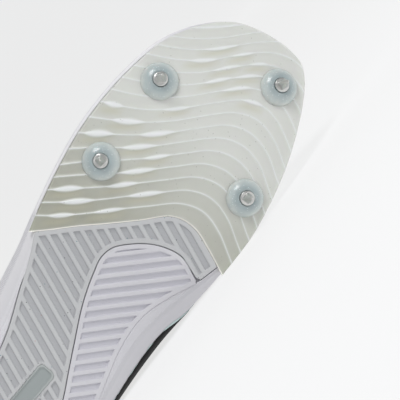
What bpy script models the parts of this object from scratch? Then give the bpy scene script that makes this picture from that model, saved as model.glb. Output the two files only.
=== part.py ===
"""Track spike shoe for the right foot, lying on its medial side.

The shoe is modelled upright in its own axes: X from heel to toe, Y towards the big-toe side,
Z up from the ground. An empty then lays the finished shoe on its side, on the face of its
convex hull that it would come to rest on.
"""
import math

import bmesh
import bpy
import numpy as np
from mathutils import Matrix, Vector

# Overall sizes in metres
LENGTH = 0.284
BALL_WIDTH = 0.100
TOE_SPRING = 0.0185
ARCH_RISE = 0.006
HEEL_BEVEL = 0.005
CROWN_RISE = 0.0035
INSTEP_HEIGHT = 0.0785

# Sole
HEEL_STACK = 0.0190
LIP_WALL = 0.0026
LIP_DRAFT = 0.0008
SIDE_FLARE = 0.0110
EDGE_LIFT = 0.0004
PLATE_THICKNESS = 0.0018
RIB_HEIGHT = 0.0010
RIB_COUNT = 16
PLATE_LIP = 0.0018
GROOVE_DEPTH = 0.0014
RUBBER_PITCH = 0.00515
RUBBER_GROOVE = 0.0032
RUBBER_ANGLE = math.radians(118.3)
FOAM_PITCH = 0.0050
FOAM_GROOVE = 0.0031
FOAM_ANGLE = math.radians(51.0)
TREAD_RIM = 0.0021
BADGE_LENGTH = 0.040
BADGE_WIDTH = 0.0097
BADGE_RIM = 0.0012
BADGE_RECESS = 0.0008
BADGE_ANGLE = math.radians(8.7)

# Spikes and their bosses
BOSS_RADIUS = 0.0098
DOME_RADIUS = 0.0078
BOSS_HEIGHT = 0.0042
SEAT_DEPTH = 0.0009
BORE_DEPTH = 0.0048
STUD_RADIUS = 0.0025
STUD_LENGTH = 0.0034
COLLAR_RADIUS = 0.0036
COLLAR_HEIGHT = 0.0017
SPIKE_HEIGHT = 0.0090
SPIKE_BASE = 0.0027
SPIKE_TIP = 0.0006
SPIKE_FLATS = 0.0038

# Upper and what is in it
UPPER_WALL = 0.0018
OVERLAY = 0.0009
INSOLE_THICKNESS = 0.0035
TONGUE_THICKNESS = 0.0035
LACE_RADIUS = 0.0013
LACE_BOW = 0.0018
GAP = 0.0003
SEAM = 0.0008

# Outline of the sole seen from above: along (LENGTH), lateral and medial edge (BALL_WIDTH)
OUTLINE = (
    (0.000, 0.000, 0.000),
    (0.011, -0.145, 0.135),
    (0.035, -0.245, 0.235),
    (0.077, -0.310, 0.305),
    (0.141, -0.352, 0.350),
    (0.211, -0.378, 0.374),
    (0.299, -0.395, 0.392),
    (0.387, -0.412, 0.406),
    (0.458, -0.430, 0.424),
    (0.528, -0.461, 0.455),
    (0.606, -0.486, 0.488),
    (0.687, -0.496, 0.511),
    (0.757, -0.480, 0.502),
    (0.827, -0.441, 0.474),
    (0.887, -0.384, 0.430),
    (0.937, -0.288, 0.380),
    (0.972, -0.180, 0.325),
    (0.991, -0.080, 0.262),
    (1.000, 0.110, 0.110),
)

# Side of the sole: along (LENGTH), lip and footbed height above the ground (HEEL_STACK),
# flare of the lateral and of the medial side (SIDE_FLARE)
SIDE = (
    (0.000, 1.60, 1.02, 0.45, 0.45),
    (0.100, 1.50, 1.00, 0.55, 0.50),
    (0.220, 1.38, 0.97, 0.75, 0.60),
    (0.330, 1.24, 0.83, 0.90, 0.80),
    (0.430, 1.08, 0.67, 0.65, 1.00),
    (0.520, 0.88, 0.55, 0.35, 0.75),
    (0.610, 0.70, 0.47, 0.15, 0.30),
    (0.700, 0.63, 0.44, 0.08, 0.08),
    (0.850, 0.58, 0.40, 0.08, 0.05),
    (0.940, 0.60, 0.39, 0.08, 0.05),
    (1.000, 0.68, 0.39, 0.06, 0.06),
)

# Opening of the upper: station share, along (LENGTH), half width (BALL_WIDTH), height (INSTEP)
OPENING = (
    (0.00, 0.030, 0.000, 1.060),
    (0.08, 0.042, 0.155, 1.045),
    (0.16, 0.100, 0.262, 0.955),
    (0.24, 0.165, 0.298, 0.875),
    (0.32, 0.240, 0.305, 0.845),
    (0.39, 0.305, 0.285, 0.890),
    (0.44, 0.345, 0.235, 0.975),
    (0.48, 0.385, 0.190, 1.000),
    (0.54, 0.455, 0.165, 0.940),
    (0.60, 0.530, 0.145, 0.855),
    (0.66, 0.595, 0.125, 0.785),
    (0.73, 0.645, 0.100, 0.735),
    (0.82, 0.668, 0.065, 0.710),
    (0.91, 0.674, 0.033, 0.702),
    (1.00, 0.676, 0.000, 0.700),
)

# Sections of the upper: station share, then rise and bulge at the sole, drop and reach at the
# opening, and the extra bulge over the arch on the medial side, all of INSTEP_HEIGHT
SECTIONS = (
    (0.00, 0.25, 0.03, 0.25, 0.05, 0.000),
    (0.16, 0.22, 0.01, 0.22, 0.04, 0.000),
    (0.32, 0.20, 0.00, 0.18, 0.03, 0.030),
    (0.44, 0.30, 0.01, 0.28, 0.10, 0.120),
    (0.54, 0.34, 0.01, 0.22, 0.18, 0.120),
    (0.66, 0.30, 0.01, 0.12, 0.28, 0.050),
    (0.80, 0.24, 0.00, 0.08, 0.45, 0.010),
    (0.92, 0.21, -0.01, 0.06, 0.60, 0.000),
    (1.00, 0.20, -0.02, 0.05, 0.66, 0.000),
)

# Ribs of the plate: rib number, then along (LENGTH) at each of the stations across (BALL_WIDTH)
RIB_STATIONS = (-0.46, -0.36, -0.24, -0.12, 0.00, 0.12, 0.24, 0.36, 0.46)
RIBS = (
    (0, 0.482, 0.509, 0.544, 0.576, 0.609, 0.643, 0.646, 0.627, 0.607),
    (1, 0.518, 0.539, 0.570, 0.605, 0.638, 0.669, 0.678, 0.662, 0.637),
    (5, 0.620, 0.648, 0.677, 0.708, 0.743, 0.775, 0.784, 0.771, 0.743),
    (9, 0.746, 0.758, 0.778, 0.807, 0.844, 0.877, 0.886, 0.870, 0.845),
    (13, 0.849, 0.861, 0.879, 0.905, 0.943, 0.974, 0.984, 0.972, 0.951),
    (16, 0.908, 0.923, 0.944, 0.974, 1.011, 1.042, 1.053, 1.042, 1.021),
)

# Borders of the rear tread: along (LENGTH), across (BALL_WIDTH)
LATERAL_BORDER = (
    (0.496, -0.400),
    (0.458, -0.360),
    (0.392, -0.308),
    (0.329, -0.258),
    (0.270, -0.236),
    (0.200, -0.240),
    (0.130, -0.252),
    (0.070, -0.220),
    (0.033, -0.140),
    (0.018, 0.000),
)
MEDIAL_BORDER = (
    (0.018, 0.000),
    (0.033, 0.140),
    (0.070, 0.235),
    (0.130, 0.285),
    (0.200, 0.302),
    (0.270, 0.305),
    (0.337, 0.276),
    (0.410, 0.247),
    (0.470, 0.257),
    (0.525, 0.321),
    (0.570, 0.394),
    (0.611, 0.440),
)
FOAM_BORDER = (
    (0.572, 0.385),
    (0.593, 0.262),
    (0.589, 0.150),
    (0.565, 0.022),
    (0.541, -0.045),
    (0.520, -0.062),
    (0.490, -0.052),
    (0.440, -0.020),
    (0.370, 0.050),
    (0.300, 0.125),
    (0.245, 0.190),
    (0.212, 0.290),
)

# Spike positions: along (LENGTH), across (BALL_WIDTH)
SPIKES = (
    (0.828, -0.275),
    (0.930, 0.240),
    (0.659, -0.312),
    (0.736, 0.377),
)

STATIONS = 26
CAP_COLUMNS = 4
UPPER_ROWS = (0.0, 0.14, 0.30, 0.48, 0.66, 0.82, 0.93, 1.0)

# Looks
FOAM = ("foam", (0.62, 0.61, 0.64), 0.60, 0.0)
PLATE = ("translucent plate", (0.60, 0.61, 0.57), 0.35, 0.0)
STEEL = ("steel", (0.55, 0.55, 0.54), 0.30, 1.0)
RUBBER = ("rubber", (0.49, 0.49, 0.50), 0.65, 0.0)
BADGE = ("badge", (0.42, 0.46, 0.46), 0.55, 0.0)
MESH = ("mesh", (0.62, 0.66, 0.62), 0.85, 0.0)
BLACK = ("black film", (0.012, 0.012, 0.014), 0.50, 0.0)
FILM = ("pale film", (0.60, 0.64, 0.63), 0.45, 0.0)
LINING = ("lining", (0.30, 0.32, 0.33), 0.90, 0.0)
LACE = ("lace", (0.68, 0.68, 0.66), 0.80, 0.0)

for old in list(bpy.data.objects):
    bpy.data.objects.remove(old, do_unlink=True)
PARTS = bpy.data.collections.new("track_spike_shoe")
CUTTERS = bpy.data.collections.new("cutters")
bpy.context.scene.collection.children.link(PARTS)
bpy.context.scene.collection.children.link(CUTTERS)


def smooth(keys, values, where):
    """A cubic curve through the keys, with the slope at each key taken from its neighbours."""
    keys = np.asarray(keys, float)
    values = np.asarray(values, float)
    slopes = np.gradient(values, keys)
    where = np.clip(np.asarray(where, float), keys[0], keys[-1])
    cell = np.clip(np.searchsorted(keys, where) - 1, 0, len(keys) - 2)
    span = keys[cell + 1] - keys[cell]
    u = (where - keys[cell]) / span
    rise = values[cell + 1] - values[cell]
    a = slopes[cell] * span - rise
    b = rise - slopes[cell + 1] * span
    return values[cell] + u * rise + u * (1 - u) * ((1 - u) * a + u * b)


def column(table, number):
    """One column of a table as an array."""
    return np.array([row[number] for row in table], float)


def turn(share):
    """The angle, 0 at the heel and pi at the toe, that spaces stations closer at both ends."""
    return np.arccos(1 - 2 * np.clip(share, 0, 1))


def edge(share, side):
    """Across position of the outline, side -1 for lateral and +1 for medial."""
    number = 1 if side < 0 else 2
    return BALL_WIDTH * smooth(turn(column(OUTLINE, 0)), column(OUTLINE, number), turn(share))


def ground(x, y):
    """Height of the worn surface: heel bevel, arch, toe spring and crown across the ball."""
    along = x / LENGTH
    toe = TOE_SPRING * np.clip((along - 0.655) / 0.345, 0, None) ** 1.9
    arch = ARCH_RISE * np.cos(math.pi / 2 * np.clip((along - 0.43) / 0.20, -1, 1)) ** 2
    heel = HEEL_BEVEL * np.clip((0.07 - along) / 0.07, 0, 1) ** 2
    blend = np.clip((along - 0.45) / 0.20, 0, 1)
    crown = CROWN_RISE * (2 * y / BALL_WIDTH) ** 2 * blend * blend * (3 - 2 * blend)
    return toe + arch + heel + crown


ANGLES = np.concatenate([
    np.linspace(0, math.pi, STATIONS + 1),
    np.linspace(math.pi, 0, STATIONS + 1)[1:-1],
])
COUNT = 2 * STATIONS
SHARE = (1 - np.cos(ANGLES)) / 2
SIDES = np.where(np.arange(COUNT) <= STATIONS, -1.0, 1.0)
PLAN = np.stack([
    LENGTH * SHARE,
    np.where(SIDES < 0, edge(SHARE, -1), edge(SHARE, 1)),
], axis=1)
TANGENT = np.roll(PLAN, -1, axis=0) - np.roll(PLAN, 1, axis=0)
TANGENT /= np.linalg.norm(TANGENT, axis=1)[:, None]
OUTWARD = np.stack([TANGENT[:, 1], -TANGENT[:, 0]], axis=1)
STATION_SHARE = ANGLES / math.pi


def side_value(number):
    """A column of the side table at every point of the loop."""
    return smooth(column(SIDE, 0), column(SIDE, number), SHARE)


def ring(inset, height):
    """The outline moved inwards, at a height above the ground for each point."""
    flat = PLAN - OUTWARD * np.broadcast_to(inset, COUNT)[:, None]
    z = ground(flat[:, 0], flat[:, 1]) + height
    return np.column_stack([flat, z])


def cap_faces(first, points, surface):
    """Rows across a ring: adds the inner points and returns the faces of the cap."""
    rows = [[first]]
    extra = []
    start = len(points)
    for k in range(1, STATIONS):
        low = points[first + k]
        high = points[first + COUNT - k]
        inner = []
        for c in range(1, CAP_COLUMNS):
            mix = low + (high - low) * c / CAP_COLUMNS
            level = low[2] + (high[2] - low[2]) * c / CAP_COLUMNS
            z = level if surface is None else surface(mix[0], mix[1])
            inner.append(start + len(extra))
            extra.append((mix[0], mix[1], z))
        rows.append([first + k] + inner + [first + COUNT - k])
    rows.append([first + STATIONS])
    faces = []
    for a, b in zip(rows, rows[1:]):
        if len(a) == 1:
            faces += [(a[0], p, q) for p, q in zip(b, b[1:])]
        elif len(b) == 1:
            faces += [(b[0], p, q) for p, q in zip(a, a[1:])]
        else:
            faces += [(a[i], b[i], b[i + 1], a[i + 1]) for i in range(len(a) - 1)]
    return np.array(extra), faces


def make_object(name, points, faces, look, collection=PARTS):
    """An object from points and faces, with its faces turned outwards."""
    mesh = bpy.data.meshes.new(name)
    mesh.from_pydata([tuple(p) for p in points], [], faces)
    work = bmesh.new()
    work.from_mesh(mesh)
    bmesh.ops.recalc_face_normals(work, faces=work.faces)
    work.to_mesh(mesh)
    work.free()
    made = bpy.data.objects.new(name, mesh)
    collection.objects.link(made)
    if look:
        finish(made, look)
    return made


def finish(made, look):
    """Gives an object its material and smooth shading with sharp edges kept."""
    title, colour, roughness, metal = look
    material = bpy.data.materials.get(title)
    if material is None:
        material = bpy.data.materials.new(title)
        material.use_nodes = True
        shader = material.node_tree.nodes["Principled BSDF"]
        shader.inputs["Base Color"].default_value = (*colour, 1)
        shader.inputs["Roughness"].default_value = roughness
        shader.inputs["Metallic"].default_value = metal
    made.data.materials.clear()
    made.data.materials.append(material)
    made.data.shade_smooth()
    made.data.set_sharp_from_angle(angle=math.radians(35))


def loft(name, rings, look, low=None, high=None, collection=PARTS):
    """A closed body from a stack of rings, capped at both ends."""
    points = np.concatenate(rings)
    faces = []
    for r in range(len(rings) - 1):
        for i in range(COUNT):
            j = (i + 1) % COUNT
            a = r * COUNT
            b = a + COUNT
            faces.append((a + i, a + j, b + j, b + i))
    extra, low_faces = cap_faces(0, points, low)
    points = np.concatenate([points, extra])
    extra, high_faces = cap_faces((len(rings) - 1) * COUNT, points, high)
    points = np.concatenate([points, extra])
    return make_object(name, points, faces + low_faces + high_faces, look, collection)


def skin(name, outer, inner, wrap, look, collection=PARTS):
    """A closed thin body between two grids; wrap joins the last row to the first."""
    n, m = outer.shape[:2]
    points = np.concatenate([outer.reshape(-1, 3), inner.reshape(-1, 3)])
    back = n * m
    faces = []
    steps = n if wrap else n - 1
    for i in range(steps):
        a = i * m
        b = ((i + 1) % n) * m
        for j in range(m - 1):
            faces.append((a + j, b + j, b + j + 1, a + j + 1))
            faces.append((back + a + j, back + a + j + 1, back + b + j + 1, back + b + j))
        faces.append((a, back + a, back + b, b))
        faces.append((a + m - 1, b + m - 1, back + b + m - 1, back + a + m - 1))
    if not wrap:
        for a in (0, (n - 1) * m):
            for j in range(m - 1):
                faces.append((a + j, a + j + 1, back + a + j + 1, back + a + j))
    return make_object(name, points, faces, look, collection)


def boolean(target, tool, operation):
    """A boolean with a mesh tool, kept as a modifier."""
    cut = target.modifiers.new(operation.lower(), "BOOLEAN")
    cut.operation = operation
    cut.solver = "EXACT"
    cut.object = tool
    hide(tool)


def hide(tool):
    """Marks an object as a construction piece."""
    for home in list(tool.users_collection):
        home.objects.unlink(tool)
    CUTTERS.objects.link(tool)
    tool.hide_render = True
    tool.display_type = "WIRE"


def prism(name, outline, low, high):
    """A flat outline filled and raised between two heights, as a closed mesh."""
    curve = bpy.data.curves.new(name, "CURVE")
    curve.dimensions = "2D"
    curve.fill_mode = "BOTH"
    curve.extrude = (high - low) / 2
    spline = curve.splines.new("POLY")
    spline.points.add(len(outline) - 1)
    for point, spot in zip(spline.points, outline):
        point.co = (spot[0], spot[1], 0, 1)
    spline.use_cyclic_u = True
    flat = bpy.data.objects.new(name, curve)
    flat.location = (0, 0, (low + high) / 2)
    return to_mesh(flat)


def to_mesh(source):
    """Turns a curve object into a welded mesh object in the same place."""
    PARTS.objects.link(source)
    bpy.context.view_layer.update()
    graph = bpy.context.evaluated_depsgraph_get()
    mesh = bpy.data.meshes.new_from_object(source.evaluated_get(graph))
    work = bmesh.new()
    work.from_mesh(mesh)
    bmesh.ops.remove_doubles(work, verts=work.verts, dist=0.00001)
    bmesh.ops.recalc_face_normals(work, faces=work.faces)
    work.to_mesh(mesh)
    work.free()
    made = bpy.data.objects.new(source.name + "_mesh", mesh)
    made.matrix_world = source.matrix_world
    PARTS.objects.link(made)
    bpy.data.objects.remove(source, do_unlink=True)
    return made


def spread(table, steps):
    """Points along a smooth curve through a table of shares, evenly between its ends."""
    spots = np.column_stack([column(table, 0) * LENGTH, column(table, 1) * BALL_WIDTH])
    reach = np.concatenate([[0], np.cumsum(np.linalg.norm(np.diff(spots, axis=0), axis=1))])
    along = np.linspace(0, reach[-1], steps)
    return np.column_stack([smooth(reach, spots[:, 0], along), smooth(reach, spots[:, 1], along)])


def grow(outline, distance):
    """Moves a closed outline outwards by a distance, along the normal at each point."""
    outline = np.asarray(outline)
    before = outline - np.roll(outline, 1, axis=0)
    after = np.roll(outline, -1, axis=0) - outline
    before /= np.linalg.norm(before, axis=1)[:, None]
    after /= np.linalg.norm(after, axis=1)[:, None]
    way = before + after
    length = np.linalg.norm(way, axis=1)[:, None]
    way /= length
    area = np.sum(outline[:, 0] * np.roll(outline[:, 1], -1)
                  - np.roll(outline[:, 0], -1) * outline[:, 1])
    normal = np.column_stack([way[:, 1], -way[:, 0]]) * np.sign(area)
    return outline + normal * distance * np.clip(2 / length, 1, 1.6)


def rib_line(number, across):
    """Along position of a rib, or of the rear edge for number 0, at positions across."""
    numbers = column(RIBS, 0)
    keys = np.array([np.interp(number, numbers, column(RIBS, c + 1))
                     for c in range(len(RIB_STATIONS))])
    stations = np.array(RIB_STATIONS) * BALL_WIDTH
    ends = (keys[1] - keys[0]) / (stations[1] - stations[0])
    line = smooth(stations, keys, across)
    below = np.clip(stations[0] - across, 0, None)
    above = np.clip(across - stations[-1], 0, None)
    last = (keys[-1] - keys[-2]) / (stations[-1] - stations[-2])
    return LENGTH * (line - ends * below + last * above)


# Midsole: bottom edge, flared sidewall, lip and footbed, then the tread recess cut from below
TREAD = PLATE_THICKNESS + RIB_HEIGHT
LIP = side_value(1) * HEEL_STACK
BED = side_value(2) * HEEL_STACK
FLARE = np.where(SIDES < 0, side_value(3), side_value(4)) * SIDE_FLARE
WALL = ((0.00, 1.00), (0.06, 0.90), (0.20, 0.68), (0.42, 0.38), (0.66, 0.12), (0.86, 0.0))
rings = [ring(FLARE + 0.0012, EDGE_LIFT)]
for level, inset in WALL:
    rings.append(ring(FLARE * inset, EDGE_LIFT + 0.0006 + (LIP - EDGE_LIFT - 0.0006) * level))
rings.append(ring(0.0010, LIP))
rings.append(ring(LIP_WALL, LIP))
rings.append(ring(LIP_WALL + LIP_DRAFT, BED))
BED_SHARES = column(SIDE, 0)
BED_HEIGHTS = column(SIDE, 2) * HEEL_STACK


def footbed(x, y):
    """Height of the footbed."""
    return ground(x, y) + float(smooth(BED_SHARES, BED_HEIGHTS, x / LENGTH))


midsole = loft("midsole", rings, FOAM, low=lambda x, y: ground(x, y) + EDGE_LIFT, high=footbed)


def under(name, height, spare):
    """A body from well below the shoe up to a height over the ground, wider by spare."""
    top = ring(-spare, height)
    low = top.copy()
    low[:, 2] = -0.03
    body = loft(name, [low, top], None, None, lambda x, y: ground(x, y) + height, CUTTERS)
    hide(body)
    return body


lateral = spread(LATERAL_BORDER, 30)
medial = spread(MEDIAL_BORDER, 40)
front_y = np.linspace(medial[-1, 1], lateral[0, 1], 22)[1:-1]
front = np.column_stack([rib_line(0, front_y) - SEAM, front_y])
lateral[0, 0] = rib_line(0, lateral[0, 1]) - SEAM
medial[-1, 0] = rib_line(0, medial[-1, 1]) - SEAM
rear_zone = np.concatenate([lateral[:-1], medial, front])
open_y = np.linspace(BALL_WIDTH * 0.75, -BALL_WIDTH * 0.75, 38)
open_x = rib_line(0, np.clip(open_y, -BALL_WIDTH / 2, BALL_WIDTH / 2)) - SEAM
front_zone = np.concatenate([
    np.column_stack([open_x, open_y]),
    np.array([(LENGTH * 1.1, -BALL_WIDTH * 0.75), (LENGTH * 1.1, BALL_WIDTH * 0.75)]),
])
recess = under("recess", TREAD + GAP, 0.004)
zone = prism("rear_zone", grow(rear_zone, GAP), -0.06, 0.06)
boolean(zone, prism("front_zone", front_zone, -0.061, 0.061), "UNION")
boolean(recess, zone, "INTERSECT")
boolean(midsole, recess, "DIFFERENCE")

# Plate: rows follow the ribs, crest and trough in turn, with the toe as the last row
PLATE_COLUMNS = 11


def plate_edge(side):
    """The plate's outline on one side as two arrays, along and across."""
    angles = np.linspace(0.25 * math.pi, math.pi, 240)
    share = (1 - np.cos(angles)) / 2
    flat = np.column_stack([LENGTH * share, edge(share, side)])
    way = np.gradient(flat, axis=0)
    way /= np.linalg.norm(way, axis=1)[:, None]
    out = np.column_stack([way[:, 1], -way[:, 0]]) * (1 if side < 0 else -1)
    fade = np.clip((1.0 - share) / 0.15, 0, 1)
    width = GAP + (PLATE_LIP - GAP) * fade if side < 0 else GAP + 0 * fade
    return flat - out * width[:, None]


EDGES = {side: plate_edge(side) for side in (-1, 1)}
TIP = 0.5 * (EDGES[-1][-1] + EDGES[1][-1])
for side in (-1, 1):
    EDGES[side][-1] = TIP


def inside(number, across):
    """Whether a point of a rib line lies within the plate's outline."""
    along = rib_line(number, across)
    low = np.interp(along, EDGES[-1][:, 0], EDGES[-1][:, 1])
    high = np.interp(along, EDGES[1][:, 0], EDGES[1][:, 1])
    return (along < TIP[0]) & (across > low) & (across < high)


def rib_ends(number):
    """Where a rib line meets the plate's outline, lateral end first."""
    across = np.linspace(-0.55 * BALL_WIDTH, 0.55 * BALL_WIDTH, 441)
    held = np.flatnonzero(inside(number, across))
    ends = []
    for spot, outer in ((held[0], held[0] - 1), (held[-1], held[-1] + 1)):
        a, b = across[spot], across[outer]
        for _ in range(24):
            middle = 0.5 * (a + b)
            if inside(number, np.array([middle]))[0]:
                a = middle
            else:
                b = middle
        ends.append(a)
    return ends


plate_rows = []
crests = []
for step in range(2 * RIB_COUNT + 1):
    number = step / 2
    a, b = rib_ends(number)
    y = np.linspace(a, b, PLATE_COLUMNS)
    plate_rows.append(np.column_stack([rib_line(number, y), y]))
    crests.append(1.0 if step % 2 == 0 else 0.0)
rim = np.concatenate([EDGES[-1], EDGES[1][::-1][1:]])
reach = np.concatenate([[0], np.cumsum(np.linalg.norm(np.diff(rim, axis=0), axis=1))])
places = []
for end in (plate_rows[-1][0], plate_rows[-1][-1]):
    places.append(reach[np.argmin(np.linalg.norm(rim - end, axis=1))])
toe_reach = np.linspace(places[0], places[1], PLATE_COLUMNS + 2)[1:-1]
toe_row = np.column_stack([np.interp(toe_reach, reach, rim[:, 0]),
                           np.interp(toe_reach, reach, rim[:, 1])])
plate_rows.append(toe_row)
crests.append(0.3)
rows = np.array(plate_rows)
drop = (1 - np.array(crests))[:, None] * RIB_HEIGHT * np.ones(PLATE_COLUMNS)
level = ground(rows[..., 0], rows[..., 1])
plate = skin("plate", np.dstack([rows, level + drop]), np.dstack([rows, level + TREAD]), False,
             PLATE)


def turned(name, profile, steps, look=None):
    """A profile of radius and height turned round Z into a closed body."""
    mesh = bpy.data.meshes.new(name)
    points = [(r, 0, z) for r, z in profile]
    mesh.from_pydata(points, [(i, i + 1) for i in range(len(points) - 1)], [])
    made = bpy.data.objects.new(name, mesh)
    PARTS.objects.link(made)
    screw = made.modifiers.new("turn", "SCREW")
    screw.steps = steps
    screw.render_steps = steps
    screw.use_merge_vertices = True
    screw.merge_threshold = 0.00001
    if look:
        finish(made, look)
    return made


def spike_frame(spot):
    """The place of a spike: origin on the crests, Z down and square to the plate."""
    x, y = spot[0] * LENGTH, spot[1] * BALL_WIDTH
    step = 0.006
    dx = (ground(x + step, y) - ground(x - step, y)) / (2 * step)
    dy = (ground(x, y + step) - ground(x, y - step)) / (2 * step)
    down = Vector((dx, dy, -1)).normalized()
    turn_to = Vector((0, 0, 1)).rotation_difference(down)
    return Matrix.Translation((x, y, float(ground(x, y)))) @ turn_to.to_matrix().to_4x4()


BOSS = (
    (0.0, BOSS_HEIGHT),
    (DOME_RADIUS * 0.68, BOSS_HEIGHT),
    (DOME_RADIUS * 0.90, BOSS_HEIGHT * 0.74),
    (DOME_RADIUS, BOSS_HEIGHT * 0.24),
    (BOSS_RADIUS * 0.90, BOSS_HEIGHT * 0.14),
    (BOSS_RADIUS, -RIB_HEIGHT * 0.9),
    (0.0, -RIB_HEIGHT * 0.9),
)
SEAT = (
    (0.0, BOSS_HEIGHT + 0.002),
    (COLLAR_RADIUS + GAP * 1.6, BOSS_HEIGHT + 0.002),
    (COLLAR_RADIUS + GAP * 1.6, BOSS_HEIGHT - SEAT_DEPTH),
    (STUD_RADIUS + GAP, BOSS_HEIGHT - SEAT_DEPTH),
    (STUD_RADIUS + GAP, BOSS_HEIGHT - BORE_DEPTH),
    (0.0, BOSS_HEIGHT - BORE_DEPTH),
)
SPIKE = (
    (0.0, COLLAR_HEIGHT + SPIKE_HEIGHT),
    (SPIKE_TIP, COLLAR_HEIGHT + SPIKE_HEIGHT - 0.0002),
    (SPIKE_BASE * 0.62, COLLAR_HEIGHT + SPIKE_HEIGHT * 0.45),
    (SPIKE_BASE, COLLAR_HEIGHT + SPIKE_HEIGHT * 0.12),
    (SPIKE_BASE, COLLAR_HEIGHT),
    (COLLAR_RADIUS, COLLAR_HEIGHT),
    (COLLAR_RADIUS, 0.0),
    (STUD_RADIUS, 0.0),
    (STUD_RADIUS, -STUD_LENGTH),
    (0.0, -STUD_LENGTH),
)
for number, spot in enumerate(SPIKES):
    place = spike_frame(spot)
    boss = turned(f"boss_{number + 1}", BOSS, 18)
    boss.matrix_world = place
    boolean(plate, boss, "UNION")
    seat = turned(f"seat_{number + 1}", SEAT, 12)
    seat.matrix_world = place
    boolean(plate, seat, "DIFFERENCE")
    spike = turned(f"spike_{number + 1}", SPIKE, 12, STEEL)
    spike.matrix_world = place @ Matrix.Translation((0, 0, BOSS_HEIGHT - SEAT_DEPTH + GAP))
    bpy.ops.mesh.primitive_cube_add(size=1)
    jaw = bpy.context.object
    jaw.name = f"jaw_{number + 1}"
    jaw.data.transform(Matrix.Diagonal((0.004, 0.010, SPIKE_HEIGHT, 1)))
    for way in (-1, 1):
        cheek = jaw if way < 0 else bpy.data.objects.new(f"jaw_{number + 1}_b", jaw.data)
        aside = way * (SPIKE_FLATS / 2 + 0.002)
        cheek.matrix_world = spike.matrix_world @ Matrix.Translation(
            (aside, 0, COLLAR_HEIGHT + SPIKE_HEIGHT / 2 + 0.0002))
        if way > 0:
            PARTS.objects.link(cheek)
        boolean(spike, cheek, "DIFFERENCE")

# Rear tread: rubber pad and foam bars, both cut from one slab that follows the ground


def slab(name, outline, look):
    """The part of the tread's thickness that lies inside an outline."""
    body = loft(name, [ring(0.0, 0.0), ring(0.0, TREAD)], look, ground,
                lambda x, y: ground(x, y) + TREAD)
    boolean(body, prism(name + "_zone", outline, -0.05, 0.05), "INTERSECT")
    return body


def grooves(name, outline, angle, pitch, width):
    """Straight strips inside an outline, from below up to the groove depth."""
    across = Vector((math.sin(angle), -math.cos(angle), 0))
    offsets = outline @ np.array([across.x, across.y])
    first = math.ceil((offsets.min() + width) / pitch)
    last = math.floor((offsets.max() - width) / pitch)
    middle = outline.mean(axis=0)
    along = Vector((math.cos(angle), math.sin(angle), 0))
    centre = Vector((middle[0], middle[1], 0)).dot(along)
    work = bmesh.new()
    for number in range(first, last + 1):
        spot = across * (number * pitch) + along * centre
        place = Matrix.Translation(spot) @ Matrix.Rotation(angle, 4, "Z")
        size = Matrix.Diagonal((LENGTH, width, 0.05, 1))
        bmesh.ops.create_cube(work, size=1, matrix=place @ size)
    mesh = bpy.data.meshes.new(name)
    work.to_mesh(mesh)
    work.free()
    body = bpy.data.objects.new(name, mesh)
    PARTS.objects.link(body)
    boolean(body, prism(name + "_zone", outline, -0.04, 0.04), "INTERSECT")
    boolean(body, under(name + "_depth", GROOVE_DEPTH, 0.002), "INTERSECT")
    return body


foam_edge = spread(FOAM_BORDER, 44)
near = np.argmin(np.linalg.norm(medial - foam_edge[0], axis=1))
far = np.argmin(np.linalg.norm(medial - foam_edge[-1], axis=1))
foam_edge[0] = medial[near]
foam_edge[-1] = medial[far]
foam_outline = np.concatenate([foam_edge[:-1], medial[far:near]])
foam_tread = slab("foam_tread", foam_outline, FOAM)
boolean(foam_tread, grooves("foam_grooves", grow(foam_outline, -TREAD_RIM), FOAM_ANGLE,
                            FOAM_PITCH, FOAM_GROOVE), "DIFFERENCE")
rubber_pad = slab("rubber_pad", rear_zone, RUBBER)
boolean(rubber_pad, prism("foam_space", grow(foam_outline, GAP), -0.045, 0.045), "DIFFERENCE")
pad_outline = np.concatenate([lateral[:-1], medial[:far - 1],
                              grow(foam_outline, TREAD_RIM + GAP)[len(foam_edge) - 3:1:-1],
                              medial[near + 2:], front])
axis = np.array([math.cos(BADGE_ANGLE), math.sin(BADGE_ANGLE)])
cross = np.array([-axis[1], axis[0]])
badge_middle = np.array([0.312 * LENGTH, 0.006 * BALL_WIDTH]) - axis * BADGE_LENGTH / 2


def badge_outline(inset):
    """A rounded rectangle round the badge's middle, smaller by the inset."""
    points = []
    radius = BADGE_WIDTH * 0.28 - inset * 0.6
    half = (BADGE_LENGTH / 2 - inset - radius, BADGE_WIDTH / 2 - inset - radius)
    for corner, (u, v) in enumerate(((1, 1), (-1, 1), (-1, -1), (1, -1))):
        for step in range(5):
            angle = math.pi / 2 * (corner + step / 4)
            a = half[0] * u + radius * math.cos(angle)
            b = half[1] * v + radius * math.sin(angle)
            points.append(badge_middle + axis * a + cross * b)
    return np.array(points)


rubber_grooves = grooves("rubber_grooves", grow(pad_outline, -TREAD_RIM), RUBBER_ANGLE,
                         RUBBER_PITCH, RUBBER_GROOVE)
boolean(rubber_grooves, prism("badge_rim", badge_outline(-BADGE_RIM), -0.035, 0.035),
        "DIFFERENCE")
boolean(rubber_pad, rubber_grooves, "DIFFERENCE")
pocket = under("badge_pocket", TREAD * 0.75, 0.001)
boolean(pocket, prism("badge_hole", badge_outline(-GAP), -0.036, 0.036), "INTERSECT")
boolean(rubber_pad, pocket, "DIFFERENCE")
badge = loft("badge", [ring(0.0, 0.0), ring(0.0, TREAD * 0.75 - GAP)], BADGE, ground,
             lambda x, y: ground(x, y) + TREAD * 0.75 - GAP)
boolean(badge, prism("badge_body", badge_outline(0.0), -0.037, 0.037), "INTERSECT")
field = under("badge_field", BADGE_RECESS, 0.001)
boolean(field, prism("badge_inner", badge_outline(BADGE_RIM), -0.038, 0.038), "INTERSECT")
boolean(badge, field, "DIFFERENCE")

# Upper: a shell from the footbed, up inside the lip and over the last to the opening


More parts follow.
